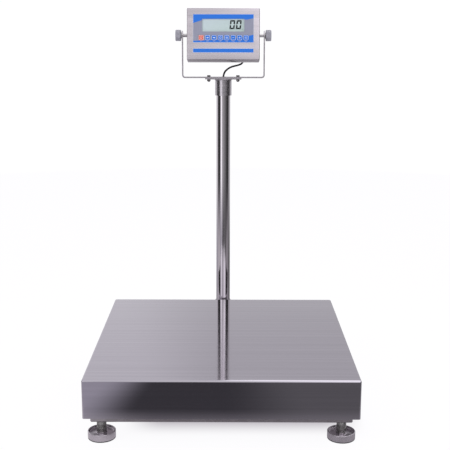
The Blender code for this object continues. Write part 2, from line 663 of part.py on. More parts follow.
def head_bolts(head, pieces):
    stack = FLANGE_SHEET + BAIL_SHEET + 3 * GAP
    nut_top = -stack
    profile = [(0.0, BAIL_BOLT_HEAD), (BAIL_BOLT_FLATS, BAIL_BOLT_HEAD), (BAIL_BOLT_FLATS, 0.0),
               (BAIL_BOLT_RADIUS, 0.0), (BAIL_BOLT_RADIUS, nut_top), (BAIL_BOLT_FLATS, nut_top),
               (BAIL_BOLT_FLATS, nut_top - BAIL_NUT),
               (BAIL_BOLT_RADIUS, nut_top - BAIL_NUT),
               (BAIL_BOLT_RADIUS, nut_top - BAIL_NUT - BAIL_BOLT_TAIL),
               (0.0, nut_top - BAIL_NUT - BAIL_BOLT_TAIL)]
    for number, side in enumerate((-1, 1)):
        x = side * BAIL_BOLT_SPREAD / 2
        turned(f"bail_bolt_{number + 1}", profile, (x, 0.0, bail_bottom + BAIL_SHEET + GAP),
               ZINC, head, 12)
        for piece in pieces:
            bore(piece, BAIL_BOLT_RADIUS + HOLE_FIT, stack * 3, (x, 0.0, bail_bottom), head)


# ---------------------------------------------------------------- indicator
def key_places():
    return [(overlay_left + KEY_FIRST + KEY_PITCH * i, key_z) for i in range(KEY_COUNT)]


def front_openings(piece, parent, y, depth):
    """Cut the display window and the key holes through a front layer."""
    pocket(piece, (WINDOW_WIDTH, depth, WINDOW_HEIGHT), (window_x, y, window_z), parent)
    hole = KEY_SIDE + 2 * KEY_FIT
    for x, z in key_places():
        pocket(piece, (hole, depth, hole), (x, y, z), parent)


def case(tilt):
    shell_depth = CASE_DEPTH - REAR_DEPTH
    shell = tray("case_front", (CASE_WIDTH, shell_depth, CASE_HEIGHT),
                 (0.0, case_front_y + shell_depth / 2, 0.0), (0, 1, 0), CASE_SHEET, CASE_EDGE,
                 2, BRUSHED, tilt)
    front_openings(shell, tilt, case_front_y, CASE_SHEET * 3)
    bore(shell, PIVOT_RADIUS + HOLE_FIT, CASE_WIDTH * 2, (0, 0, 0), tilt,
         (0.0, math.pi / 2, 0.0), 16)
    cover_depth = REAR_DEPTH - GAP
    cover = tray("case_rear", (CASE_WIDTH, cover_depth, CASE_HEIGHT),
                 (0.0, case_rear_y - cover_depth / 2, 0.0), (0, -1, 0), CASE_SHEET, CASE_EDGE,
                 2, BRUSHED, tilt)
    back = (-math.pi / 2, 0.0, 0.0)
    for x in (GLAND_X, INLET_X):
        bore(cover, PANEL_HOLE_RADIUS, CASE_SHEET * 3, (x, case_rear_y, GLAND_Z), tilt, back, 16)
    neck = PANEL_HOLE_RADIUS - HOLE_FIT
    turned("cable_gland",
           [(0.0, GLAND_LENGTH), (CABLE_RADIUS * 1.6, GLAND_LENGTH),
            (GLAND_RADIUS * 0.8, GLAND_LENGTH * 0.75), (GLAND_RADIUS * 0.8, GLAND_LENGTH * 0.35),
            (GLAND_RADIUS, GLAND_LENGTH * 0.35), (GLAND_RADIUS, 0.0), (neck, 0.0),
            (neck, -REAR_DEPTH), (0.0, -REAR_DEPTH)],
           (GLAND_X, case_rear_y + GAP, GLAND_Z), BLACK_PLASTIC, tilt, 16, back)
    turned("power_inlet",
           [(0.0, -INLET_RADIUS), (INLET_SOCKET_RADIUS, -INLET_RADIUS),
            (INLET_SOCKET_RADIUS, INLET_FLANGE), (INLET_RADIUS + INLET_FLANGE / 2, INLET_FLANGE),
            (INLET_RADIUS + INLET_FLANGE / 2, 0.0), (neck, 0.0), (neck, -REAR_DEPTH),
            (0.0, -REAR_DEPTH)],
           (INLET_X, case_rear_y + GAP, GLAND_Z), BLACK_PLASTIC, tilt, 16, back)


def front_panel(tilt):
    overlay_y = case_front_y - GAP - OVERLAY_SHEET / 2
    overlay_z = overlay_top - OVERLAY_HEIGHT / 2
    film = box("overlay", (OVERLAY_WIDTH, OVERLAY_SHEET, OVERLAY_HEIGHT),
               (0.0, overlay_y, overlay_z), OVERLAY, tilt)
    front_openings(film, tilt, overlay_y, OVERLAY_SHEET * 3)
    box("display_panel",
        (WINDOW_WIDTH + 2 * PANEL_MARGIN, PANEL_DEPTH, WINDOW_HEIGHT + 2 * PANEL_MARGIN),
        (window_x, panel_front + PANEL_DEPTH / 2, window_z), LCD, tilt)
    key_front = case_front_y - GAP - OVERLAY_SHEET - KEY_PROUD
    for number, (x, z) in enumerate(key_places()):
        box(f"key_{number + 1}", (KEY_SIDE, KEY_DEPTH, KEY_SIDE),
            (x, key_front + KEY_DEPTH / 2, z), BLUE_KEY if number else RED_KEY, tilt,
            KEY_EDGE)


def case_contents(tilt):
    board_front = panel_front + PANEL_DEPTH + GAP
    box("circuit_board", (BOARD_WIDTH, BOARD_SHEET, BOARD_HEIGHT),
        (0.0, board_front + BOARD_SHEET / 2, BOARD_Z), BOARD, tilt)
    battery_back = case_rear_y - CASE_SHEET - GAP
    box("battery_pack", BATTERY, (0.0, battery_back - BATTERY[1] / 2, BOARD_Z), BATTERY_WRAP,
        tilt, BATTERY_EDGE)


def pivots(tilt):
    knob_in = bail_outer + WASHER + 2 * GAP
    stud_end = knob_in + KNOB_BORE - GAP
    spacer_in = CASE_WIDTH / 2 + GAP
    spacer_out = BAIL_INNER / 2 - GAP
    nut_out = CASE_WIDTH / 2 - CASE_SHEET - GAP
    nut_in = nut_out - PIVOT_NUT
    stud = [(0.0, stud_end), (PIVOT_RADIUS, stud_end), (PIVOT_RADIUS, spacer_out),
            (SPACER_RADIUS, spacer_out), (SPACER_RADIUS, spacer_in), (PIVOT_RADIUS, spacer_in),
            (PIVOT_RADIUS, nut_out), (PIVOT_NUT_RADIUS, nut_out), (PIVOT_NUT_RADIUS, nut_in),
            (0.0, nut_in)]
    hole = PIVOT_RADIUS + HOLE_FIT
    washer = [(hole, WASHER / 2), (WASHER_RADIUS, WASHER / 2), (WASHER_RADIUS, -WASHER / 2),
              (hole, -WASHER / 2)]
    for name, side in (("left", -1), ("right", 1)):
        outward = (0.0, side * math.pi / 2, 0.0)
        turned("pivot_stud_" + name, stud, (0, 0, 0), POLISHED, tilt, 16, outward)
        turned("knob_washer_" + name, washer, (side * (bail_outer + GAP + WASHER / 2), 0, 0),
               ZINC, tilt, 20, outward, ring=True)
        knob("knob_" + name, side * (knob_in + KNOB_LENGTH / 2), tilt, outward)
        bore(bpy.data.objects["knob_" + name], hole, KNOB_BORE * 2, (side * knob_in, 0, 0), tilt,
             outward, 16)


def knob(name, x, parent, turn):
    shape = bmesh.new()
    bmesh.ops.create_cone(shape, cap_ends=True, segments=KNOB_LOBES * 6, radius1=1.0,
                          radius2=1.0, depth=KNOB_LENGTH)
    for vert in shape.verts:
        wave = math.cos(KNOB_LOBES * math.atan2(vert.co.y, vert.co.x)) - 1.0
        radius = KNOB_RADIUS + KNOB_LOBE_DEPTH * wave
        vert.co.x *= radius
        vert.co.y *= radius
    made = add(name, finished_mesh(shape, name, True), (x, 0, 0), GREY_PLASTIC, parent, turn)
    rounded(made, KNOB_EDGE)


# ---------------------------------------------------------------- cables
def load_cell_cable():
    """From the fixed end of the load cell, over the rear rail, under the pan's skirt and up
    the mast."""
    rear = PLATFORM_Y + PAN_SIDE / 2
    leave = PLATFORM_Y + CELL_LENGTH / 2 + GAP
    points = [(0, leave, 0.0935), (0, leave + 0.045, 0.0925), (0, rear - 0.135, 0.0875),
              (0, rear - 0.085, 0.0825), (0, rear - 0.045, 0.0797), (0, rear - 0.0185, 0.0795),
              (0, rear - 0.0115, 0.0766), (0, rear - 0.0085, 0.0695), (0, rear - 0.0085, 0.0655),
              (0, rear - 0.0056, 0.0584), (0, rear + 0.0015, 0.0555), (0, rear + 0.013, 0.0553),
              (0, MAST_Y - 0.005, 0.0605), (0, MAST_Y, 0.0725), (0, MAST_Y, 0.100),
              (0, MAST_Y, 0.740), (0, MAST_Y, MAST_TOP - 0.0005)]
    cable("load_cell_cable", points, CABLE_RADIUS, CABLE_SPACING, RUBBER)


def signal_cable():
    """The free stretch: out of the gland, round behind the case and down into the mast."""
    points = [(0.0, 0.0, 0.7643), (0.0005, 0.0004, 0.774), (0.0035, 0.0035, 0.783),
              (0.0105, 0.0115, 0.7905), (0.020, 0.022, 0.796), (0.031, 0.034, 0.799),
              (0.0425, 0.046, 0.8015), (0.0515, 0.0545, 0.806), (0.0555, 0.0575, 0.8135),
              (0.0560, 0.0535, 0.8215), (0.0560, 0.0455, 0.8268), (0.0560, 0.0354, 0.8290)]
    gland_end = case_rear_y + GAP + GLAND_LENGTH + GAP
    exit_y = gland_end * math.cos(REST_TILT) + GLAND_Z * math.sin(REST_TILT)
    exit_z = PIVOT_HEIGHT - gland_end * math.sin(REST_TILT) + GLAND_Z * math.cos(REST_TILT)
    points[-1] = (GLAND_X, exit_y, exit_z)
    placed = [(x, MAST_Y + y, z) for x, y, z in points]
    cable("signal_cable", placed, CABLE_RADIUS, CABLE_SPACING, RUBBER)


platform()
mast()
head_axis = empty("head_axis", (0.0, MAST_Y, 0.0))
head_bolts(head_axis, [collar(head_axis), bail(head_axis)])
tilt_axis = empty("tilt_axis", (0.0, 0.0, PIVOT_HEIGHT), head_axis, -REST_TILT)
case(tilt_axis)
front_panel(tilt_axis)
case_contents(tilt_axis)
pivots(tilt_axis)
load_cell_cable()
signal_cable()
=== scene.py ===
# %% [markdown]
# # A clinic floor scale, finished around its fixed frame
# The scale is a square steel platform with a mast and a tilting indicator behind it. Its
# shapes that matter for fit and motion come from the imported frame. This file adds what the
# eye reads: brushed and polished steel, printed film, moulded plastic, threads and cables.
# Every size is either read from the frame or named once where it is first needed. `FIT` is
# the clearance between two pieces that touch.

import json
import math

import bmesh
import bpy
from mathutils import Matrix, Vector


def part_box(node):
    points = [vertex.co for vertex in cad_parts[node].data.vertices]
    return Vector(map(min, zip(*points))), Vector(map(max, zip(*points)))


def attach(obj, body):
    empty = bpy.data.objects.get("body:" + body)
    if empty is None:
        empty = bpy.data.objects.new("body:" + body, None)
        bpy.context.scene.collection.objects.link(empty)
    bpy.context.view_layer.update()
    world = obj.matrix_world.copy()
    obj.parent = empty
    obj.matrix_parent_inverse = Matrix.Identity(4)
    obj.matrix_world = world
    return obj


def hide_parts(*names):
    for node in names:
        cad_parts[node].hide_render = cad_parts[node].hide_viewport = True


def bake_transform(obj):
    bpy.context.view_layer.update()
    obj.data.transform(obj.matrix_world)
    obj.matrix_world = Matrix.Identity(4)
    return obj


FIT = 0.0003

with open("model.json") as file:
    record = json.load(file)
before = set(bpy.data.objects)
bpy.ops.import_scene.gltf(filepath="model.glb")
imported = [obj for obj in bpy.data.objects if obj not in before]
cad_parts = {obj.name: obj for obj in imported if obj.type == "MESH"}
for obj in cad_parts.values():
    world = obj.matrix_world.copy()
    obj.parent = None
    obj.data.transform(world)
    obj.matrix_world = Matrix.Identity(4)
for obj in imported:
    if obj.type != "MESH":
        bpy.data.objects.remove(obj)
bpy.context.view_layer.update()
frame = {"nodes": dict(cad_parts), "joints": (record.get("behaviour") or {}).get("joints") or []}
joints = {joint["name"]: joint for joint in frame["joints"]}

# %% [markdown]
# ## Reference places
# The indicator is drawn upright in its own small frame: X across, Y back into the case and Z
# up, with the pivot at zero. One matrix then tips it back. The tilt is read from the direction
# in which the keys travel, so the drawing always agrees with the frame.

# %% Places read from the frame
def middle(node):
    low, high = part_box(node)
    return (low + high) / 2


pan_low, pan_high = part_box("weighing_pan")
pan_middle = middle("weighing_pan")
mast_low, mast_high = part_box("mast_tube")
mast_axis = middle("mast_tube")
pivot = Vector(joints["indicator_tilt"]["pos_m"])
press = Vector(joints["key_1_press"]["axis"])
rest_tilt = math.atan2(-press.z, press.y)
tilted = Matrix.Translation(pivot) @ Matrix.Rotation(-rest_tilt, 4, "X")
upright = tilted.inverted()
print("rest tilt:", round(math.degrees(rest_tilt), 2), "degrees")


def local_box(node):
    """A node's box measured in the indicator's own upright frame."""
    points = [upright @ vert.co for vert in frame["nodes"][node].data.vertices]
    low = Vector([min(p[i] for p in points) for i in range(3)])
    high = Vector([max(p[i] for p in points) for i in range(3)])
    return low, high


# %% [markdown]
# ## Camera
# The view is that of a person standing a little over two metres in front of the platform,
# with their eyes level with the indicator. A long lens keeps the mast straight.

# %% Camera
LENS_MM = 71.7
EYE_FORWARD = 2.135
EYE_HEIGHT = 0.885
EYE_RIGHT = 0.013
LOOK_DOWN = math.radians(12.03)
LOOK_LEFT = math.radians(0.18)
ROLL = math.radians(0.10)

camera_data = bpy.data.cameras.new("camera")
camera_data.lens = LENS_MM
camera_data.sensor_width = 36.0
camera = bpy.data.objects.new("camera", camera_data)
bpy.context.scene.collection.objects.link(camera)
camera.location = (EYE_RIGHT, pan_middle.y - EYE_FORWARD, EYE_HEIGHT)
look = (Matrix.Rotation(LOOK_LEFT, 4, "Z") @ Matrix.Rotation(math.pi / 2 - LOOK_DOWN, 4, "X")
        @ Matrix.Rotation(ROLL, 4, "Z"))
camera.rotation_euler = look.to_euler()
bpy.context.scene.camera = camera
print("camera at", [round(v, 3) for v in camera.location])

# %% [markdown]
# ## Small helpers for meshes
# A finished piece sits at the origin with its place in its mesh. `finish_piece` bakes the
# place in, gives the piece its material and ties it to its body and its frame nodes.

# %% Mesh helpers
def mesh_object(name, shape, smooth_angle=40.0):
    mesh = bpy.data.meshes.new(name)
    shape.to_mesh(mesh)
    shape.free()
    if smooth_angle:
        mesh.shade_smooth()
        mesh.set_sharp_from_angle(angle=math.radians(smooth_angle))
    made = bpy.data.objects.new(name, mesh)
    bpy.context.scene.collection.objects.link(made)
    return made


def applied(piece):
    """The piece with its modifiers turned into plain mesh."""
    bpy.context.view_layer.update()
    evaluated = piece.evaluated_get(bpy.context.evaluated_depsgraph_get())
    mesh = bpy.data.meshes.new_from_object(evaluated)
    made = bpy.data.objects.new(piece.name + "_plain", mesh)
    made.matrix_world = piece.matrix_world.copy()
    bpy.context.scene.collection.objects.link(made)
    name = piece.name
    bpy.data.objects.remove(piece, do_unlink=True)
    made.name = name
    return made


def finish_piece(piece, body, finish, slot, nodes=(), place=None):
    """Bake the place into the mesh, then set material, body and replaced nodes. `slot` is not
    used.
    """
    if piece.modifiers or piece.type != "MESH":
        piece = applied(piece)
    bpy.context.view_layer.update()
    piece.data.transform(piece.matrix_world)
    piece.matrix_world = Matrix.Identity(4)
    if place is not None:
        piece.data.transform(place)
    if finish is not None:
        piece.data.materials.clear()
        piece.data.materials.append(finish)
    if body is not None:
        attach(piece, body)
    if nodes:
        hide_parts(*nodes)
    return piece


def edge_round(piece, width, segments=3, angle=40.0):
    bevel = piece.modifiers.new("edges", "BEVEL")
    bevel.width = width
    bevel.segments = segments
    bevel.limit_method = "ANGLE"
    bevel.angle_limit = math.radians(angle)
    return piece


def boolean(piece, other, operation="DIFFERENCE"):
    """Cut, join or intersect at once, and remove the helper."""
    change = piece.modifiers.new("boolean", "BOOLEAN")
    change.operation = operation
    change.object = other
    result = applied(piece)
    bpy.data.objects.remove(other, do_unlink=True)
    return result


def reshade(piece, angle=40.0):
    piece.data.shade_smooth()
    piece.data.set_sharp_from_angle(angle=math.radians(angle))
    return piece


def solid_box(name, size, centre, smooth_angle=0.0):
    shape = bmesh.new()
    bmesh.ops.create_cube(shape, size=1.0)
    bmesh.ops.scale(shape, vec=Vector(size), verts=shape.verts)
    bmesh.ops.translate(shape, vec=Vector(centre), verts=shape.verts)
    return mesh_object(name, shape, smooth_angle)


def open_box(name, low, high, outward, bend, segments, sheet):
    """Sheet box with the side towards `outward` left open and its other edges bent round."""
    shape = bmesh.new()
    bmesh.ops.create_cube(shape, size=1.0)
    bmesh.ops.scale(shape, vec=high - low, verts=shape.verts)
    bmesh.ops.translate(shape, vec=(low + high) / 2, verts=shape.verts)
    shape.normal_update()
    lid = [face for face in shape.faces if face.normal.dot(Vector(outward)) > 0.5]
    bmesh.ops.delete(shape, geom=lid, context="FACES")
    piece = edge_round(mesh_object(name, shape), bend, segments)
    wall = piece.modifiers.new("wall", "SOLIDIFY")
    wall.thickness = sheet
    wall.offset = -1.0
    wall.use_even_offset = True
    return applied(piece)


AXIS_TURNS = {"Z": Matrix.Identity(4), "-Z": Matrix.Rotation(math.pi, 4, "X"),
              "X": Matrix.Rotation(math.pi / 2, 4, "Y"),
              "-X": Matrix.Rotation(-math.pi / 2, 4, "Y"),
              "Y": Matrix.Rotation(-math.pi / 2, 4, "X")}


def turned(name, profile, steps=64, axis="Z", centre=(0, 0, 0), ring=False):
    """Revolve (radius, height) points, listed from the top down the outer side."""
    shape = bmesh.new()
    rows = []
    for radius, height in profile:
        count = 1 if radius < 1e-9 else steps
        rows.append([shape.verts.new((radius * math.cos(2 * math.pi * i / steps),
                                      radius * math.sin(2 * math.pi * i / steps), height))
                     for i in range(count)])
    pairs = list(zip(rows, rows[1:]))
    if ring:
        pairs.append((rows[-1], rows[0]))
    for upper, lower in pairs:
        for i in range(steps):
            j = (i + 1) % steps
            corners = [upper[i % len(upper)], lower[i % len(lower)], lower[j % len(lower)],
                       upper[j % len(upper)]]
            unique = list(dict.fromkeys(corners))
            if len(unique) > 2:
                shape.faces.new(unique)
    bmesh.ops.transform(shape, matrix=Matrix.Translation(Vector(centre)) @ AXIS_TURNS[axis],
                        verts=shape.verts)
    return mesh_object(name, shape)


def arc(centre, radius, start, end, steps=6):
    """Points on a flat arc whose angles are given in degrees."""
    span = [math.radians(start + (end - start) * i / steps) for i in range(steps + 1)]
    return [(centre[0] + radius * math.cos(a), centre[1] + radius * math.sin(a)) for a in span]


def rounded_rectangle(width, height, radius, centre=(0.0, 0.0), steps=6):
    """Outline of a rectangle with round corners, counter-clockwise."""
    x, y = width / 2 - radius, height / 2 - radius
    points = []
    for sign_x, sign_y, start in ((1, 1, 0), (-1, 1, 90), (-1, -1, 180), (1, -1, 270)):
        points += arc((centre[0] + sign_x * x, centre[1] + sign_y * y), radius, start,
                      start + 90, steps)
    return points


def flat_piece(name, outlines, thickness, turn=Matrix.Identity(4)):
    """Extrude closed outlines, where an outline inside another is a hole."""
    curve = bpy.data.curves.new(name, "CURVE")
    curve.dimensions = "2D"
    curve.fill_mode = "BOTH"
    curve.extrude = thickness / 2
    for outline in outlines:
        spline = curve.splines.new("POLY")
        spline.points.add(len(outline) - 1)
        for place, (x, y) in zip(spline.points, outline):
            place.co = (x, y, 0.0, 1.0)
        spline.use_cyclic_u = True
    drawn = bpy.data.objects.new(name, curve)
    bpy.context.scene.collection.objects.link(drawn)
    piece = applied(drawn)
    piece.data.transform(turn)
    shape = bmesh.new()
    shape.from_mesh(piece.data)
    bmesh.ops.remove_doubles(shape, verts=shape.verts, dist=0.00001)
    bmesh.ops.dissolve_limit(shape, angle_limit=0.01, verts=shape.verts, edges=shape.edges)
    shape.to_mesh(piece.data)
    shape.free()
    return piece


def upright_at(depth):
    """Stands a flat piece up, facing the front, with its middle at this depth."""
    return Matrix.Translation((0, depth, 0)) @ Matrix.Rotation(math.pi / 2, 4, "X")


# %% [markdown]
# ## Shader arithmetic
# A pattern is a sum of simple waves and masks. Wrapping a socket in a small class lets the
# script write that sum as plain arithmetic, and each operator adds one Math node.

# %% Shader helpers
class Wire:
    """A shader socket that takes part in arithmetic."""

    def __init__(self, paint, socket):
        self.paint = paint
        self.socket = socket

    def math(self, operation, *others):
        return self.paint.node("ShaderNodeMath", {"operation": operation}, self, *others)

    def __add__(self, other):
        return self.math("ADD", other)

    __radd__ = __add__

    def __mul__(self, other):
        return self.math("MULTIPLY", other)

    __rmul__ = __mul__

    def __sub__(self, other):
        return self.math("SUBTRACT", other)

    def __rsub__(self, other):
        return self.paint.node("ShaderNodeMath", {"operation": "SUBTRACT"}, other, self)

    def __truediv__(self, other):
        return self.math("DIVIDE", other)

    def __abs__(self):
        return self.math("ABSOLUTE")

    def smooth(self, low, high):
        """0 below low, 1 above high, and smooth between."""
        return self.paint.node("ShaderNodeMapRange", {"interpolation_type": "SMOOTHSTEP"},
                               self, low, high, 0.0, 1.0)


class Graph:
    """Short ways to add nodes to a material's or the world's tree."""

    def __init__(self, tree):
        self.tree = tree

    def feed(self, socket, value):
        if isinstance(value, Wire):
            self.tree.links.new(value.socket, socket)
        elif socket.type == "RGBA":
            socket.default_value = (*value, 1.0)
        else:
            socket.default_value = value

    def node(self, kind, settings=None, *values, out=0, **named):
        made = self.tree.nodes.new(kind)
        for key, value in (settings or {}).items():
            setattr(made, key, value)
        for socket, value in zip(made.inputs, values):
            self.feed(socket, value)
        for key, value in named.items():
            self.feed(made.inputs[key.replace("_", " ")], value)
        return Wire(self, made.outputs[out])

    def mix(self, factor, first, second):
        made = self.tree.nodes.new("ShaderNodeMix")
        made.data_type = "RGBA"
        for index, value in ((0, factor), (6, first), (7, second)):
            self.feed(made.inputs[index], value)
        return Wire(self, made.outputs[2])

    def layered(self, factor, below, above):
        """A Mix Shader between two shader sockets."""
        made = self.tree.nodes.new("ShaderNodeMixShader")
        for socket, value in zip(made.inputs, (factor, below, above)):
            self.tree.links.new(value, socket)
        return made.outputs[0]

    def axes(self, vector):
        made = self.tree.nodes.new("ShaderNodeSeparateXYZ")
        self.feed(made.inputs[0], vector)
        return [Wire(self, socket) for socket in made.outputs]

    def noise(self, vector, scale, detail=2.0, roughness=0.5):
        return self.node("ShaderNodeTexNoise", None, vector, Scale=scale, Detail=detail,
                         Roughness=roughness)


class Paint(Graph):
    """One material round a Principled shader."""

    def __init__(self, name, **sockets):
        self.material = bpy.data.materials.new(name)
        self.material.use_nodes = True
        super().__init__(self.material.node_tree)
        self.shader = self.tree.nodes["Principled BSDF"]
        for key, value in sockets.items():
            self.set(key.replace("_", " "), value)

    def set(self, name, value):
        self.feed(self.shader.inputs[name], value)
        return self

    def place(self, origin=(0, 0, 0), turn=(0, 0, 0), scale=(1, 1, 1)):
        """Object coordinates measured from an origin, in a turned and scaled frame."""
        coordinates = self.node("ShaderNodeTexCoord", out=3)
        local = self.node("ShaderNodeMapping", {"vector_type": "TEXTURE"}, coordinates,
                          tuple(origin), tuple(turn))
        return self.node("ShaderNodeVectorMath", {"operation": "MULTIPLY"}, local,
                         tuple(scale))

    def bump(self, height, strength, distance):
        return self.set("Normal", self.node("ShaderNodeBump", None, Strength=strength,
                                            Distance=distance, Height=height))


# %% [markdown]
# ## Steel finishes
# Brushed stainless is ground with a belt, so its scratches are metres long in one direction
# and hundredths of a millimetre wide in the other. A noise squeezed along one axis gives
# that. It drives roughness most, colour a little and height least. Handling leaves soft
# cloudy patches, a second, large noise.

# %% Steel materials
def brushed(name, colour, rough, across, origin=(0, 0, 0), turn=(0, 0, 0), streak=0.10,
            cloud=0.08, fine=1.0, ends=None, contrast=1.0):
    """Brushed metal whose scratches run along the axis where `across` is small. On the faces
    that look along that axis, `ends` takes its place."""
    paint = Paint(name, Metallic=1.0)
    local = paint.place(origin, turn)
    squeeze = tuple(across)
    if ends:
        outward = paint.node("ShaderNodeTexCoord", out=1)
        facing = abs(paint.axes(outward)[0]).smooth(0.68, 0.72)
        squeeze = paint.mix(facing, across, ends)
    place = paint.node("ShaderNodeVectorMath", {"operation": "MULTIPLY"}, local, squeeze)
    grain = paint.noise(place, 1.0, 5.0, 0.65)
    wide = paint.noise(place, 0.12, 2.0)
    cloudy = paint.noise(local, 7.0, 3.0)
    shine = (grain - 0.5) * streak * 2.0 + (wide - 0.5) * streak * 1.5
    paint.set("Roughness", shine + (cloudy - 0.5) * cloud + rough)
    dark = [v * (1.0 - 0.20 * contrast) for v in colour]
    light = [min(1.0, v * (1.0 + 0.14 * contrast)) for v in colour]
    tone = (grain - 0.5) * 0.8 + (wide - 0.5) * 1.2 + 0.5
    paint.set("Base Color", paint.mix(tone, dark, light))
    paint.bump(grain, 0.12 * fine, 0.00004)
    return paint.material


def plated(name, colour, rough, mottle=0.1, bump=0.2, metallic=1.0):
    """Plated, cast or painted metal with a fine even mottle."""
    paint = Paint(name, Metallic=metallic)
    place = paint.place()
    fine = paint.noise(place, 900.0, 3.0)
    patches = paint.noise(place, 45.0, 3.0)
    paint.set("Roughness", (fine - 0.5) * mottle + (patches - 0.5) * mottle * 1.5 + rough)
    paint.set("Base Color", paint.mix(patches, [v * 0.78 for v in colour],
                                      [min(1.0, v * 1.12) for v in colour]))
    paint.bump(fine, bump, 0.00005)
    return paint.material


tilt_turn = (-rest_tilt, 0.0, 0.0)
STEEL_TINT = (0.60, 0.575, 0.625)
ALONG_X = (6.0, 900.0, 900.0)
ALONG_Y = (900.0, 6.0, 900.0)
ALONG_Z = (900.0, 900.0, 6.0)
pan_steel = brushed("pan_steel", STEEL_TINT, 0.075, ALONG_X, pan_middle, streak=0.03,
                    cloud=0.02, fine=0.5, ends=ALONG_Y, contrast=0.5)
case_steel = brushed("case_steel", (0.70, 0.66, 0.69), 0.24, ALONG_X, pivot, tilt_turn,
                     ends=ALONG_Y)
strap_steel = brushed("strap_steel", (0.60, 0.575, 0.60), 0.28, ALONG_X, pivot)
mast_steel = brushed("mast_steel", (0.70, 0.67, 0.69), 0.10, ALONG_Z, mast_axis, streak=0.04,
                     cloud=0.03, fine=0.12)
stud_steel = plated("stud_steel", (0.72, 0.70, 0.70), 0.14, 0.05, 0.05)
zinc = plated("zinc", (0.52, 0.515, 0.50), 0.34)
cast = plated("cast_aluminium", (0.50, 0.50, 0.51), 0.55, 0.2, 1.0)
cell_metal = brushed("cell_metal", (0.72, 0.72, 0.74), 0.30, ALONG_X, pan_middle)
print("steel finishes made")

# %% [markdown]
# ## Paint, plastic and rubber
# The frame is sprayed, which leaves a faint orange peel. Moulded plastic shows the spark
# texture of its mould, and rubber is nearly matt, with grey bloom where it is handled.

# %% Paint, plastic and rubber materials
def moulded(name, colour, rough, grain_scale, bump, bloom=(0.0, 0.0, 0.0), coat=0.0):
    paint = Paint(name, Metallic=0.0)
    place = paint.place()
    grain = paint.noise(place, grain_scale, 3.0)
    patches = paint.noise(place, 60.0, 4.0)
    paint.set("Roughness", (grain - 0.5) * 0.12 + (patches - 0.5) * 0.15 + rough)
    paint.set("Base Color", paint.mix(patches, [v * 0.85 for v in colour],
                                      [min(1.0, v * 1.1 + b) for v, b in zip(colour, bloom)]))
    paint.set("Coat Weight", coat)
    paint.bump(grain, bump, 0.0001)
    return paint.material


frame_paint = plated("frame_paint", (0.52, 0.49, 0.51), 0.36, 0.10, 0.25)
knob_plastic = moulded("knob_plastic", (0.34, 0.335, 0.39), 0.46, 1500.0, 0.5)
black_plastic = moulded("black_plastic", (0.022, 0.022, 0.025), 0.42, 1500.0, 0.4)
pad_rubber = moulded("pad_rubber", (0.030, 0.030, 0.033), 0.55, 900.0, 0.5,
                     (0.02, 0.02, 0.022))
cushion_rubber = moulded("cushion_rubber", (0.020, 0.020, 0.021), 0.7, 700.0, 0.7)
cable_rubber = moulded("cable_rubber", (0.006, 0.006, 0.007), 0.48, 1200.0, 0.2)
board_green = moulded("board_green", (0.015, 0.16, 0.055), 0.32, 700.0, 0.2)
vial_glass = moulded("vial_glass", (0.45, 0.70, 0.12), 0.12, 300.0, 0.02, coat=0.8)
print("paint, plastic and rubber made")

# %% [markdown]
# ## A helper for Geometry Nodes
# Threads, weld beads, screws and printed marks repeat. Each is grown by a small node tree
# with named sizes. The tree realises its copies, and the result is turned into plain mesh.

# %% Geometry Nodes helper
class Growth:
    """A Geometry Nodes tree whose named inputs are sizes, counts or objects."""

    KINDS = {int: "NodeSocketInt", float: "NodeSocketFloat",
             bpy.types.Object: "NodeSocketObject"}

    def __init__(self, name, **sizes):
        self.name = name
        self.tree = bpy.data.node_groups.new(name, "GeometryNodeTree")
        self.tree.interface.new_socket("Geometry", in_out="OUTPUT",
                                       socket_type="NodeSocketGeometry")
        self.values = {}
        for key, value in sizes.items():
            item = self.tree.interface.new_socket(key, in_out="INPUT",
                                                  socket_type=self.KINDS[type(value)])
            self.values[item.identifier] = value
        self.entry = self.tree.nodes.new("NodeGroupInput")

    def size(self, name):
        return self.entry.outputs[name]

    def feed(self, socket, value):
        if isinstance(value, bpy.types.NodeSocket):
            self.tree.links.new(value, socket)
        else:
            socket.default_value = value

    def node(self, kind, settings=None, out=0, **inputs):
        made = self.tree.nodes.new("GeometryNode" + kind if kind[0] != "." else kind[1:])
        for key, value in (settings or {}).items():
            setattr(made, key, value)
        for key, value in inputs.items():
            self.feed(made.inputs[key.replace("_", " ")], value)
        return made.outputs[out]

    def math(self, operation, first, second):
        made = self.tree.nodes.new("ShaderNodeMath")
        made.operation = operation
        for socket, value in zip(made.inputs, (first, second)):
            self.feed(socket, value)
        return made.outputs[0]

    def grown(self, result, finish):
        real = self.node("RealizeInstances", Geometry=result)
        coloured = self.node("SetMaterial", Geometry=real, Material=finish)
        leave = self.tree.nodes.new("NodeGroupOutput")
        self.tree.links.new(coloured, leave.inputs[0])
        host = bpy.data.objects.new(self.name, bpy.data.meshes.new(self.name))
        bpy.context.scene.collection.objects.link(host)
        modifier = host.modifiers.new("grow", "NODES")
        modifier.node_group = self.tree
        for identifier, value in self.values.items():
            modifier[identifier] = value
        return applied(host)


def thread(name, radius, depth, pitch, length, centre, finish):
    """A helical ridge of square section, standing on a core."""
    plan = Growth(name, Turns=length / pitch, Radius=radius - depth / 2, Length=length,
                  Ridge=depth * 0.5)
    spiral = plan.node("CurveSpiral", out=0, Resolution=20, Rotations=plan.size("Turns"),
                       Start_Radius=plan.size("Radius"), End_Radius=plan.size("Radius"),
                       Height=plan.size("Length"))
    section = plan.node("CurvePrimitiveCircle", {"mode": "RADIUS"}, Resolution=4,
                        Radius=plan.size("Ridge"))
    ridge = plan.node("CurveToMesh", Curve=spiral, Profile_Curve=section, Fill_Caps=True)
    made = plan.grown(ridge, finish)
    made.data.transform(Matrix.Translation(Vector(centre)))
    return made


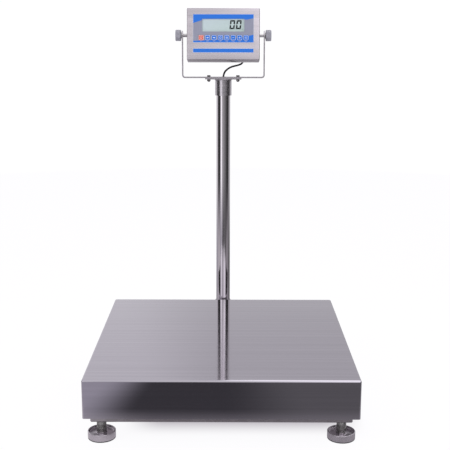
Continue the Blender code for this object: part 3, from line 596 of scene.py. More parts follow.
def weld_bead(name, points, bead, closed, finish):
    """Overlapping drops of weld metal laid along a line of points."""
    curve = bpy.data.curves.new(name + "_line", "CURVE")
    curve.dimensions = "3D"
    spline = curve.splines.new("POLY")
    spline.points.add(len(points) - 1)
    for place, point in zip(spline.points, points):
        place.co = (*point, 1.0)
    spline.use_cyclic_u = closed
    line = bpy.data.objects.new(name + "_line", curve)
    bpy.context.scene.collection.objects.link(line)
    plan = Growth(name, Line=line, Bead=bead, Step=bead * 0.75)
    path = plan.node("ObjectInfo", {"transform_space": "ORIGINAL"}, out=4,
                     Object=plan.size("Line"))
    spots = plan.node("CurveToPoints", {"mode": "LENGTH"}, Curve=path,
                      Length=plan.size("Step"))
    drop = plan.node("MeshIcoSphere", Radius=plan.size("Bead"), Subdivisions=2)
    swell = plan.node(".FunctionNodeRandomValue", {"data_type": "FLOAT"}, out=1)
    random = plan.tree.nodes[-1]
    random.inputs[2].default_value = 0.85
    random.inputs[3].default_value = 1.12
    random.inputs["Seed"].default_value = 7
    beads = plan.node("InstanceOnPoints", Points=spots, Instance=drop, Scale=swell)
    made = plan.grown(beads, finish)
    bpy.data.objects.remove(line, do_unlink=True)
    return reshade(made, 60.0)


def merged(name, pieces):
    """Several pieces of one finish as one mesh."""
    shape = bmesh.new()
    for piece in pieces:
        bpy.context.view_layer.update()
        piece.data.transform(piece.matrix_world)
        shape.from_mesh(piece.data)
        bpy.data.objects.remove(piece, do_unlink=True)
    return mesh_object(name, shape)


def hexagon(name, flats, height, centre, axis="Z", bore=0.0, both=True):
    """Nut or bolt head with chamfered corners; its seat is at the low end of its axis."""
    corner = flats / math.sqrt(3)
    drop = (corner - flats / 2) * 0.6
    low = drop if both else 0.0
    shape = bmesh.new()
    bmesh.ops.create_cone(shape, cap_ends=True, segments=6, radius1=corner, radius2=corner,
                          depth=height)
    prism = mesh_object(name, shape)
    profile = [(bore, height * 0.51), (flats * 0.475, height * 0.51),
               (corner * 1.02, height / 2 - drop), (corner * 1.02, low - height / 2),
               (flats * 0.475 if both else corner * 1.02, -height * 0.51),
               (bore, -height * 0.51)]
    prism = boolean(prism, turned("barrel", profile, 48, ring=bore > 0), "INTERSECT")
    shift = Matrix.Translation(Vector((0, 0, height / 2)))
    prism.data.transform(Matrix.Translation(Vector(centre)) @ AXIS_TURNS[axis] @ shift)
    return reshade(prism, 30.0)


# %% [markdown]
# ## Weighing pan
# The pan is one sheet, bent down on four sides and welded at its corners, then ground. The
# bends have a small outer radius, which is what catches the light as a thin bright line. An
# open box is bevelled finely and then given its 2 mm wall, so both sides stay parallel.

# %% Weighing pan
PAN_SHEET = 0.002
PAN_BEND = 0.0045

pan = reshade(open_box("pan", pan_low, pan_high, (0, 0, -1), PAN_BEND, 6, PAN_SHEET), 30.0)
finish_piece(pan, "pan", pan_steel, "brushed_stainless", ["weighing_pan"])
print("pan:", len(pan.data.polygons), "faces")

# %% [markdown]
# ## Signal cable
# The thin cable leaves the gland at the back of the case, droops, loops forward under it and
# drops into the mast. It is 5 mm across and limp. Its route is a few listed points
# joined by a smooth curve. The cable is made as a round tube.

# %% Signal cable
CABLE_RADIUS = 0.0025
CABLE_STEP = 0.0022
CABLE_SIDES = 16

gland_low, gland_high = local_box("cable_gland")
gland_tip = tilted @ Vector(((gland_low.x + gland_high.x) / 2, gland_high.y + FIT,
                             (gland_low.z + gland_high.z) / 2))


def smooth_route(points, spacing):
    """Points every `spacing` along a smooth curve through the given ones."""
    points = [Vector(point) for point in points]
    gaps = [(b - a).length for a, b in zip(points, points[1:])]
    slopes = []
    for i in range(len(points)):
        before = (points[i] - points[i - 1]) / gaps[i - 1] if i else None
        after = (points[i + 1] - points[i]) / gaps[i] if i < len(gaps) else None
        if before is None or after is None:
            slopes.append(after if before is None else before)
        else:
            slopes.append((before * gaps[i] + after * gaps[i - 1]) / (gaps[i - 1] + gaps[i]))
    route = []
    for i, gap in enumerate(gaps):
        count = max(2, round(gap / spacing))
        for step in range(count):
            t = step / count
            route.append(points[i] * (2 * t ** 3 - 3 * t ** 2 + 1)
                         + slopes[i] * gap * (t ** 3 - 2 * t ** 2 + t)
                         + points[i + 1] * (3 * t ** 2 - 2 * t ** 3)
                         + slopes[i + 1] * gap * (t ** 3 - t ** 2))
    return route + [points[-1]]


def tube(name, route, radius, sides=CABLE_SIDES):
    """A closed round tube whose rings are carried along the route without twisting."""
    shape = bmesh.new()
    along = [(route[min(i + 1, len(route) - 1)] - route[max(i - 1, 0)]).normalized()
             for i in range(len(route))]
    side = along[0].orthogonal().normalized()
    rings = []
    for point, forward in zip(route, along):
        side = (side - forward * side.dot(forward)).normalized()
        other = forward.cross(side)
        rings.append([shape.verts.new(point + (side * math.cos(2 * math.pi * k / sides)
                                               + other * math.sin(2 * math.pi * k / sides))
                                      * radius) for k in range(sides)])
    for lower, upper in zip(rings, rings[1:]):
        for k in range(sides):
            j = (k + 1) % sides
            shape.faces.new((lower[k], lower[j], upper[j], upper[k]))
    shape.faces.new(list(reversed(rings[0])))
    shape.faces.new(rings[-1])
    return mesh_object(name, shape, 50.0)


signal_points = [(0.0, 0.0, 0.7643), (0.0005, 0.0004, 0.774), (0.0035, 0.0035, 0.783),
                 (0.0105, 0.0115, 0.7905), (0.020, 0.022, 0.796), (0.031, 0.034, 0.799),
                 (0.0425, 0.046, 0.8015), (0.0515, 0.0545, 0.806), (0.0555, 0.0575, 0.8135),
                 (0.0560, 0.0535, 0.8215), (0.0560, 0.0455, 0.8268)]
placed = [(x, mast_axis.y + y, z) for x, y, z in signal_points] + [tuple(gland_tip)]
signal_route = list(reversed(smooth_route(placed, CABLE_STEP)))
signal_length = sum((b - a).length for a, b in zip(signal_route, signal_route[1:]))
signal_cable = tube("signal_cable_fine", signal_route, CABLE_RADIUS)
finish_piece(signal_cable, None, cable_rubber, "cable_jacket", ["signal_cable"])
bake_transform(signal_cable)
print("signal cable:", round(signal_length, 4), "m")

# %% [markdown]
# ## Load cell cable
# The load cell's cable is clipped along the frame and runs up inside the mast, so it is held
# all the way. It is the same tube along its own route.

# %% Load cell cable
CELL_HALF = 0.075

rear = pan_high.y
start_y = pan_middle.y + CELL_HALF + FIT
cell_points = [(0, start_y, 0.0935), (0, start_y + 0.045, 0.0925), (0, rear - 0.135, 0.0875),
               (0, rear - 0.085, 0.0825), (0, rear - 0.045, 0.0797), (0, rear - 0.0185, 0.0795),
               (0, rear - 0.0115, 0.0766), (0, rear - 0.0085, 0.0695),
               (0, rear - 0.0085, 0.0655), (0, rear - 0.0056, 0.0584), (0, rear + 0.0015, 0.0555),
               (0, rear + 0.013, 0.0553), (0, mast_axis.y - 0.005, 0.0605),
               (0, mast_axis.y, 0.0725), (0, mast_axis.y, 0.100), (0, mast_axis.y, 0.740),
               (0, mast_axis.y, mast_high.z - 0.0005)]
cell_route = smooth_route(cell_points, 0.004)
cell_length = sum((b - a).length for a, b in zip(cell_route, cell_route[1:]))
cell_cable = tube("load_cell_cable_fine", cell_route, CABLE_RADIUS, 12)
finish_piece(cell_cable, "platform", cable_rubber, "cable_jacket", ["load_cell_cable"])
print("load cell cable:", round(cell_length, 3), "m")

# %% [markdown]
# ## Mast
# A round polished tube, drawn from the frame's own tube with more sides. Its top edge is
# slightly broken, as a cut and deburred tube is. The port where the load cell's cable enters
# is a real hole through the wall.

# %% Mast tube
MAST_WALL = 0.0015
MAST_PORT = 0.0045
PORT_HEIGHT = 0.0553
BROKEN_EDGE = 0.0004

mast_radius = (mast_high.x - mast_low.x) / 2
mast_foot = (mast_axis.x, mast_axis.y, mast_low.z)
mast_height = mast_high.z - mast_low.z


def pipe(name, inner, outer, height, foot, steps=128):
    """Upright tube with its top edges broken."""
    profile = [(inner, height - BROKEN_EDGE), (inner + BROKEN_EDGE, height),
               (outer - BROKEN_EDGE, height), (outer, height - BROKEN_EDGE), (outer, 0.0),
               (inner, 0.0)]
    return turned(name, profile, steps, "Z", foot, ring=True)


def drill(piece, radius, length, centre, axis="Z", steps=48):
    """Cut a round hole that starts half its length before the centre."""
    offset = {"Z": (0, 0, -1), "X": (-1, 0, 0), "Y": (0, -1, 0)}[axis]
    start = Vector(centre) + Vector(offset) * (length / 2)
    cutter = turned("drill", [(0.0, length), (radius, length), (radius, 0.0), (0.0, 0.0)],
                    steps, axis, start)
    return boolean(piece, cutter)


def circle(x, y, radius, steps=48):
    return arc((x, y), radius, 0, 360, steps)[:-1]


mast = pipe("mast", mast_radius - MAST_WALL, mast_radius, mast_height, mast_foot)
mast = drill(mast, MAST_PORT, mast_radius, (mast_axis.x, mast_low.y, PORT_HEIGHT), "Y")
finish_piece(reshade(mast, 35.0), "platform", mast_steel, "polished_stainless", ["mast_tube"])
print("mast:", round(mast_height, 4), "m high")

# %% [markdown]
# ## Mast socket
# The mast drops into a short, wider tube that is welded to a plate and bolted under the
# frame's rear bar. The plate's corners are rounded and the weld runs all the way round.

# %% Mast socket
SOCKET_PLATE = 0.004
SOCKET_CORNER = 0.008
SOCKET_BOLT_HOLE = 0.0043
WELD_BEAD = 0.0016

socket_low, socket_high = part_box("mast_socket")
socket_middle = middle("mast_socket")
plate_top = socket_low.z + SOCKET_PLATE
socket_outer = mast_radius + 0.003
outline = rounded_rectangle(socket_high.x - socket_low.x, socket_high.y - socket_low.y,
                            SOCKET_CORNER, (socket_middle.x, socket_middle.y))
holes = [circle(middle(f"mast_bolt_{n}").x, middle(f"mast_bolt_{n}").y, SOCKET_BOLT_HOLE)
         for n in (1, 2)]
plate = flat_piece("plate", [outline, *holes], SOCKET_PLATE,
                   Matrix.Translation((0, 0, socket_low.z + SOCKET_PLATE / 2)))
sleeve_foot = (mast_axis.x, mast_axis.y, plate_top - 0.0005)
sleeve = pipe("sleeve", mast_radius + FIT, socket_outer,
              socket_high.z - sleeve_foot[2], sleeve_foot)
sleeve = drill(sleeve, MAST_PORT, mast_radius, (mast_axis.x, mast_low.y, PORT_HEIGHT), "Y")
socket = merged("mast_socket_fine", [plate, sleeve])
finish_piece(socket, "platform", frame_paint, "frame_paint", ["mast_socket"])
ring = [(mast_axis.x + x, mast_axis.y + y, plate_top + WELD_BEAD * 0.3)
        for x, y in circle(0, 0, socket_outer + WELD_BEAD * 0.2, 64)]
bead = weld_bead("socket_weld", ring, WELD_BEAD, True, frame_paint)
finish_piece(bead, "platform", frame_paint, "frame_paint")


# %% [markdown]
# ## Bolts
# A bolt is a chamfered hexagon on a shank. One function makes them all from the frame's own
# boxes.

# %% Bolts
HEX_EASE = 0.985


def flats_of(corner):
    """Width across flats of a hexagon just inside a circle of this radius."""
    return corner * math.sqrt(3) * HEX_EASE


def hex_bolt(name, corner, head, shank, length, centre, axis):
    """Head above the seat at `centre`, shank below it, both along the axis."""
    cap = hexagon(name, flats_of(corner), head, (0, 0, 0), both=False)
    stem = turned("stem", [(0.0, 0.0005), (shank, 0.0005), (shank, 0.0008 - length),
                           (shank * 0.8, -length), (0.0, -length)], 32)
    made = merged(name, [cap, stem])
    made.data.transform(Matrix.Translation(Vector(centre)) @ AXIS_TURNS[axis])
    return made


MAST_BOLT_CORNER = 0.0068
MAST_BOLT_HEAD = 0.005
MAST_BOLT_SHANK = 0.004

for number in (1, 2):
    node = f"mast_bolt_{number}"
    low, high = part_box(node)
    seat = (middle(node).x, middle(node).y, low.z + MAST_BOLT_HEAD)
    bolt = hex_bolt(node + "_fine", MAST_BOLT_CORNER, MAST_BOLT_HEAD, MAST_BOLT_SHANK,
                    high.z - seat[2], seat, "-Z")
    finish_piece(bolt, "platform", zinc, "zinc_steel", [node])
print("mast socket and bolts made")

# %% [markdown]
# ## Collar and flange
# The head slips over the mast on a brushed sleeve with a flat flange welded on top. A hexagon
# screw at the back clamps it. The weld's beads are what shows that sleeve and flange are two
# pieces of steel.

# %% Collar and flange
FLANGE = 0.003
COLLAR_WALL = 0.0032
FLANGE_DEPTH = 0.040
FLANGE_CORNER = 0.004
HEAD_HOLE = 0.009
BOLT_HOLE = 0.0033
COLLAR_SCREW_CORNER = 0.0055
COLLAR_SCREW_HEAD = 0.005
COLLAR_SCREW_SHANK = 0.003

collar_low, collar_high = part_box("head_collar")
collar_outer = mast_radius + FIT + COLLAR_WALL
bail_bolts = [middle(f"bail_bolt_{n}") for n in (1, 2)]
bolt_holes = [circle(b.x, b.y, BOLT_HOLE) for b in bail_bolts]
outline = rounded_rectangle(collar_high.x - collar_low.x, FLANGE_DEPTH, FLANGE_CORNER,
                            (mast_axis.x, mast_axis.y))
flange = flat_piece("flange", [outline, circle(mast_axis.x, mast_axis.y, HEAD_HOLE),
                               *bolt_holes], FLANGE,
                    Matrix.Translation((0, 0, collar_high.z - FLANGE / 2)))
flange = applied(edge_round(flange, BROKEN_EDGE, 2, 60.0))
sleeve = pipe("sleeve", mast_radius + FIT, collar_outer,
              collar_high.z - FLANGE - collar_low.z, (mast_axis.x, mast_axis.y, collar_low.z))
screw = middle("collar_screw")
screw_seat = (screw.x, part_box("collar_screw")[1].y - COLLAR_SCREW_HEAD, screw.z)
sleeve = drill(sleeve, BOLT_HOLE, 0.012, screw_seat, "Y")
finish_piece(merged("collar", [sleeve, flange]), "head", strap_steel, "brushed_stainless",
             ["head_collar"])
ring = [(mast_axis.x + x, mast_axis.y + y, collar_high.z - FLANGE - WELD_BEAD * 0.25)
        for x, y in circle(0, 0, collar_outer + WELD_BEAD * 0.1, 64)]
finish_piece(weld_bead("collar_weld", ring, WELD_BEAD * 0.9, True, strap_steel), "head",
             strap_steel, "brushed_stainless")
bolt = hex_bolt("collar_screw_fine", COLLAR_SCREW_CORNER, COLLAR_SCREW_HEAD,
                COLLAR_SCREW_SHANK, COLLAR_WALL, screw_seat, "Y")
finish_piece(bolt, "head", zinc, "zinc_steel", ["collar_screw"])

# %% [markdown]
# ## Bail
# The bail is one flat strap bent twice into a wide U, with its ends rounded about the pivot
# holes. Its side outline is extruded to the strap's width, then trimmed by its end outline,
# so the bends and the round ends come out as they do on a press brake and a punch.

# %% Bail
BAIL_SHEET = 0.003
BAIL_BEND = 0.005
PIVOT_HOLE = 0.0033

bail_low, bail_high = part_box("bail")
bail_outer = bail_high.x
bail_inner = bail_outer - BAIL_SHEET
strap_depth = bail_high.y - bail_low.y
foot = bail_low.z
bend_out = BAIL_BEND + BAIL_SHEET
top = bail_high.z + 0.002
outline = [(bail_outer, top)]
outline += arc((bail_outer - bend_out, foot + bend_out), bend_out, 0, -90, 12)
outline += arc((bend_out - bail_outer, foot + bend_out), bend_out, -90, -180, 12)
outline += [(-bail_outer, top), (-bail_inner, top)]
outline += arc((BAIL_BEND - bail_inner, foot + bend_out), BAIL_BEND, -180, -90, 12)
outline += arc((bail_inner - BAIL_BEND, foot + bend_out), BAIL_BEND, -90, 0, 12)
outline += [(bail_inner, top)]
strap = flat_piece("bail", [outline], strap_depth * 1.2,
                   upright_at(mast_axis.y))
half = strap_depth / 2
ends = [(mast_axis.y - half, foot - 0.01), (mast_axis.y + half, foot - 0.01)]
ends += arc((mast_axis.y, pivot.z), half, 0, 180, 32)
stand = Matrix(((0, 0, 1, 0), (1, 0, 0, 0), (0, 1, 0, 0), (0, 0, 0, 1)))
strap = boolean(strap, flat_piece("ends", [ends], bail_outer * 3, stand), "INTERSECT")
strap = drill(strap, PIVOT_HOLE, bail_outer * 3, pivot, "X")
strap = drill(strap, HEAD_HOLE, 0.02, (mast_axis.x, mast_axis.y, foot), "Z")
for bolt_place in bail_bolts:
    strap = drill(strap, BOLT_HOLE, 0.02, (bolt_place.x, bolt_place.y, foot), "Z", 32)
edge_round(strap, BROKEN_EDGE * 0.8, 2, 60.0)
finish_piece(reshade(applied(strap), 30.0), "head", strap_steel, "brushed_stainless", ["bail"])

# %% Bail bolts
BAIL_BOLT_CORNER = 0.0055
BAIL_BOLT_HEAD = 0.004
BAIL_NUT = 0.005
BAIL_BOLT_SHANK = 0.003
BAIL_BOLT_TAIL = 0.002

for number, place in enumerate(bail_bolts, 1):
    node = f"bail_bolt_{number}"
    low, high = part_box(node)
    seat = high.z - BAIL_BOLT_HEAD
    bolt = hex_bolt("bolt", BAIL_BOLT_CORNER, BAIL_BOLT_HEAD, BAIL_BOLT_SHANK, seat - low.z,
                    (place.x, place.y, seat), "Z")
    nut = hexagon("nut", flats_of(BAIL_BOLT_CORNER), BAIL_NUT,
                  (place.x, place.y, low.z + BAIL_BOLT_TAIL))
    finish_piece(merged(node + "_fine", [bolt, nut]), "head", zinc, "zinc_steel", [node])
print("collar, bail and bolts made")

# %% [markdown]
# ## Levelling feet
# Each foot is a turned metal cup on a thin rubber sole. Its threaded stud has a hexagon for
# the spanner and carries a loose lock nut. They all move together when a foot is levelled.
# The thread is a helix with a small square section swept along it, at the real pitch of a
# 12 mm stud.

# %% Feet
CUP_WALL = 0.0027
CUP_FLOOR = 0.012
BOSS_RADIUS = 0.0105
BOSS_TOP = 0.016
SOCKET_FLOOR = 0.006
SOLE = 0.0024
THREAD_PITCH = 0.00175
THREAD_DEPTH = 0.0010
NUT_FLATS = 0.019
STUD_HEX_RISE = 0.0184
STUD_HEX_HEIGHT = 0.0082

FACE_FORWARD = Matrix.Rotation(math.pi / 6, 4, "Z")
cup_steel = plated("cup_steel", (0.66, 0.62, 0.66), 0.24, 0.08, 0.15, metallic=0.9)

for number in range(1, 5):
    body = f"foot_{number}"
    cup_low, cup_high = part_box(f"foot_pad_{number}")
    stud_low, stud_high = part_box(f"foot_stud_{number}")
    nut_low, nut_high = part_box(f"foot_nut_{number}")
    centre = (cup_low + cup_high) / 2
    foot = (centre.x, centre.y, cup_low.z)
    radius = (cup_high.x - cup_low.x) / 2
    height = cup_high.z - cup_low.z
    stud_radius = (stud_high.x - stud_low.x) / 2
    hole = stud_radius + FIT
    rim = CUP_WALL / 2
    profile = [(0.0, SOCKET_FLOOR), (hole, SOCKET_FLOOR), (hole, BOSS_TOP - 0.0005),
               (hole + 0.0005, BOSS_TOP)]
    profile += arc((BOSS_RADIUS - 0.001, BOSS_TOP - 0.001), 0.001, 90, 0, 4)
    profile += arc((BOSS_RADIUS + 0.002, CUP_FLOOR + 0.002), 0.002, 180, 270, 4)
    profile += arc((radius - CUP_WALL - 0.003, CUP_FLOOR + 0.003), 0.003, -90, 0, 6)
    profile += arc((radius - rim, height - rim), rim, 180, 0, 12)
    profile += arc((radius - 0.001, SOLE + 0.001), 0.001, 0, -90, 4)
    profile += [(0.0, SOLE)]
    cup = reshade(turned(f"foot_cup_{number}", profile, 96, "Z", foot), 30.0)
    finish_piece(cup, body, cup_steel, "zinc_steel", [f"foot_pad_{number}"])
    sole = turned(f"foot_sole_{number}",
                  [(0.0, SOLE + 0.0001), (radius - 0.0014, SOLE + 0.0001)]
                  + arc((radius - 0.0012, 0.0012), 0.0010, 45, -45, 6)
                  + [(radius - 0.0018, 0.0), (0.0, 0.0)], 96, "Z", foot)
    finish_piece(sole, body, pad_rubber, "pad_rubber")

    core = stud_radius - THREAD_DEPTH * 0.9
    hex_top = STUD_HEX_RISE + STUD_HEX_HEIGHT - 0.0005
    stud = turned("stud", [(0.0, stud_high.z), (core - 0.0008, stud_high.z),
                           (core, stud_high.z - 0.0008), (core, hex_top), (stud_radius, hex_top),
                           (stud_radius, stud_low.z + 0.001), (stud_radius - 0.001, stud_low.z),
                           (0.0, stud_low.z)], 48, "Z", (centre.x, centre.y, 0.0))
    spanner = hexagon("spanner", NUT_FLATS, STUD_HEX_HEIGHT, (0.0, 0.0, STUD_HEX_RISE))
    spanner.data.transform(Matrix.Translation((centre.x, centre.y, 0.0)) @ FACE_FORWARD)
    stud = merged(f"foot_stud_fine_{number}", [stud, spanner])
    finish_piece(stud, body, zinc, "zinc_steel", [f"foot_stud_{number}"])
    start = hex_top + 0.0010
    ridge = thread(f"foot_thread_{number}", stud_radius, THREAD_DEPTH, THREAD_PITCH,
                   stud_high.z - 0.0010 - start, (centre.x, centre.y, start), zinc)
    finish_piece(reshade(ridge, 30.0), body, zinc, "zinc_steel")
    nut = hexagon(f"foot_nut_fine_{number}", NUT_FLATS, nut_high.z - nut_low.z,
                  (0.0, 0.0, nut_low.z), bore=hole)
    nut.data.transform(Matrix.Translation((centre.x, centre.y, 0.0)) @ FACE_FORWARD)
    finish_piece(nut, body, zinc, "zinc_steel", [f"foot_nut_{number}"])
print("feet made")

# %% [markdown]
# ## Spirit level and frame welds
# A round bubble level sits on the front rail. The frame's four corners are welded across
# their mitres, and the beads are grown along each mitre.

# %% Spirit level
level_low, level_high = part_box("spirit_level")
level = (level_low + level_high) / 2
level_foot = (level.x, level.y, level_low.z)
level_radius = (level_high.x - level_low.x) / 2
level_height = level_high.z - level_low.z
well = level_height * 0.35
housing = turned("level_housing",
                 [(0.0, well), (level_radius * 0.72, well),
                  (level_radius * 0.72, level_height - 0.0008),
                  (level_radius * 0.80, level_height), (level_radius - 0.0008, level_height),
                  (level_radius, level_height - 0.0008), (level_radius, 0.0), (0.0, 0.0)],
                 64, "Z", level_foot)
finish_piece(housing, "platform", black_plastic, "black_plastic", ["spirit_level"])
vial = turned("level_vial", [(0.0, level_height * 0.86)]
              + arc((level_radius * 0.52, level_height * 0.66), level_radius * 0.18, 90, 0, 6)
              + [(level_radius * 0.70, well), (0.0, well)], 64, "Z", level_foot)
finish_piece(vial, "platform", vial_glass, "level_vial")
bubble_ring = turned("level_ring", [(level_radius * 0.34, level_height * 0.875),
                                    (level_radius * 0.38, level_height * 0.875),
                                    (level_radius * 0.38, level_height * 0.85),
                                    (level_radius * 0.34, level_height * 0.85)], 48, "Z",
                     level_foot, ring=True)
finish_piece(bubble_ring, "platform", black_plastic, "black_plastic")

# %% Frame welds
FRAME_TUBE = 0.040
frame_low, frame_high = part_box("base_frame")
frame_middle = middle("base_frame")
half = (frame_high.x - frame_low.x) / 2
for number, (side_x, side_y) in enumerate(((-1, -1), (1, -1), (1, 1), (-1, 1)), 1):
    mitre = [(frame_middle.x + side_x * reach, frame_middle.y + side_y * reach,
              frame_high.z - WELD_BEAD * 0.35) for reach in (half - 0.003, half - FRAME_TUBE)]
    bead = weld_bead(f"frame_weld_{number}", mitre, WELD_BEAD, False, frame_paint)
    finish_piece(bead, "platform", frame_paint, "frame_paint")
print("level and frame welds made")

# %% [markdown]
# ## Indicator case
# The case is a folded and welded steel tray closed by a shallow rear cover. It is drawn
# upright in its own frame and tipped back at the end. The front face keeps its opening for
# the display and its eight key holes.

# %% Case shells
CASE_SHEET = 0.0015
CASE_BEND = 0.0022
KEY_ROOM = 0.0004
KEY_HOLE_CORNER = 0.0028
GLAND_HOLE = 0.0053

front_low, front_high = local_box("case_front")
rear_low, rear_high = local_box("case_rear")
film_low, film_high = local_box("overlay")
panel_low, panel_high = local_box("display_panel")
keys = [local_box(f"key_{number}") for number in range(1, 9)]
inlet_low, inlet_high = local_box("power_inlet")
gland_spot = (gland_low + gland_high) / 2
inlet_spot = (inlet_low + inlet_high) / 2


def cut_box(piece, low, high, room, radius, y_low, y_high):
    """Cut a hole with rounded corners from front to back."""
    outline = rounded_rectangle(high.x - low.x + 2 * room, high.z - low.z + 2 * room, radius,
                                ((low.x + high.x) / 2, (low.z + high.z) / 2), 5)
    cutter = flat_piece("cutter", [outline], y_high - y_low,
                        upright_at((y_low + y_high) / 2))
    return boolean(piece, cutter)


PANEL_MARGIN = 0.003
window_low = panel_low + Vector((PANEL_MARGIN, 0, PANEL_MARGIN))
window_high = panel_high - Vector((PANEL_MARGIN, 0, PANEL_MARGIN))
shell = open_box("case_front_fine", front_low, front_high, (0, 1, 0), CASE_BEND, 5, CASE_SHEET)
cut_from, cut_to = front_low.y - 0.002, front_low.y + CASE_SHEET * 2
shell = cut_box(shell, window_low, window_high, 0.0, 0.001, cut_from, cut_to)
for low, high in keys:
    shell = cut_box(shell, low, high, KEY_ROOM, KEY_HOLE_CORNER, cut_from, cut_to)
shell = drill(shell, PIVOT_HOLE, 0.5, (0, 0, 0), "X", 32)
finish_piece(reshade(shell, 30.0), "indicator", case_steel, "brushed_stainless",
             ["case_front"], tilted)

cover = open_box("case_rear_fine", rear_low, rear_high, (0, -1, 0), CASE_BEND, 5, CASE_SHEET)
for spot in (gland_spot, inlet_spot):
    cover = drill(cover, GLAND_HOLE, 0.02, (spot.x, rear_high.y, spot.z), "Y", 32)
finish_piece(reshade(cover, 30.0), "indicator", case_steel, "brushed_stainless",
             ["case_rear"], tilted)
print("case shells made")

# %% [markdown]
# ## Rear cover screws
# Six countersunk screws hold the rear cover. Each cross recess is drawn as a thin black
# cross on the head, which is painted shade. They could be six copied objects, but one grid
# of points that grows screws keeps their spacing even.

# %% Rear cover screws
SCREW_RADIUS = 0.0026
SCREW_EDGE = 0.008
SLOT_LENGTH = 0.0030
SLOT_WIDTH = 0.0006
SLOT_DEPTH = 0.0004

screws_wide = rear_high.x - rear_low.x - 2 * SCREW_EDGE
screws_tall = rear_high.z - rear_low.z - 2 * SCREW_EDGE
plan = Growth("rear_screws", Width=screws_wide, Height=screws_tall, Head=SCREW_RADIUS)
grid = plan.node("MeshGrid", Size_X=plan.size("Width"), Size_Y=plan.size("Height"),
                 Vertices_X=3, Vertices_Y=2)
head = plan.node("MeshCone", Vertices=32, Radius_Top=plan.math("MULTIPLY", plan.size("Head"), 0.8),
                 Radius_Bottom=plan.size("Head"), Depth=0.0003)
copies = plan.node("InstanceOnPoints", Points=grid, Instance=head)
screws = plan.grown(copies, zinc)
# Painted shade: each cross recess is two thin black boxes on the head, standing in for the shade
# inside the recess.
recess_shade_marks = []
for x in (-1, 0, 1):
    for z in (-1, 1):
        spot = (x * screws_wide / 2, z * screws_tall / 2, SLOT_DEPTH / 2)
        for size in ((SLOT_LENGTH, SLOT_WIDTH), (SLOT_WIDTH, SLOT_LENGTH)):
            recess_shade_marks.append(solid_box("slot", (*size, SLOT_DEPTH), spot))
turn_back = Matrix.Rotation(-math.pi / 2, 4, "X")
seat_y = Matrix.Translation((0, rear_high.y - 0.00029, (rear_low.z + rear_high.z) / 2))
finish_piece(reshade(screws, 30.0), "indicator", zinc, "zinc_steel", (),
             tilted @ seat_y @ turn_back)
finish_piece(merged("screw_slots", recess_shade_marks), "indicator", black_plastic, "black_plastic", (),
             tilted @ seat_y @ turn_back)
print("rear screws made")

# %% [markdown]
# ## Pivots and knobs
# A shouldered stud passes through the case wall and the bail on each side. The lobed knob
# clamps it. The knob's lobes are one cosine added to its radius, and its outer face has the
# shallow dish of a moulded grip.

# %% Pivot studs, washers and knobs
PIVOT_SHANK = 0.003
SPACER = 0.0045
PIVOT_NUT = 0.005
KNOB_LOBES = 6
KNOB_LOBE_DEPTH = 0.0010
KNOB_EDGE = 0.0016
KNOB_BORE = 0.011


def lobed_knob(name, radius, length, bore, depth):
    """Knob along +Z with its inner face at zero and a blind bore in it."""
    steps = KNOB_LOBES * 24
    rows = [(bore, depth), (bore, 0.0), (radius * 0.55, 0.0), (radius * 0.60, 0.0008)]
    rows += [(radius - KNOB_EDGE + x, KNOB_EDGE + y)
             for x, y in arc((0, 0), KNOB_EDGE, -90, 0, 5)]
    rows += [(radius - KNOB_EDGE + x, length - KNOB_EDGE + y)
             for x, y in arc((0, 0), KNOB_EDGE, 0, 90, 5)]
    rows += [(radius * 0.70, length), (radius * 0.62, length - 0.0006),
             (radius * 0.30, length - 0.0009), (0.0, length - 0.0009)]
    piece = turned(name, [(0.0, depth)] + rows, steps)
    shape = bmesh.new()
    shape.from_mesh(piece.data)
    for vert in shape.verts:
        reach = math.hypot(vert.co.x, vert.co.y)
        share = max(0.0, (reach - radius * 0.70) / (radius * 0.30))
        wave = math.cos(KNOB_LOBES * math.atan2(vert.co.y, vert.co.x)) - 1.0
        if share > 0.0:
            factor = 1.0 + KNOB_LOBE_DEPTH * wave * share / reach
            vert.co.x *= factor
            vert.co.y *= factor
    bmesh.ops.recalc_face_normals(shape, faces=shape.faces)
    shape.to_mesh(piece.data)
    shape.free()
    return reshade(piece, 35.0)


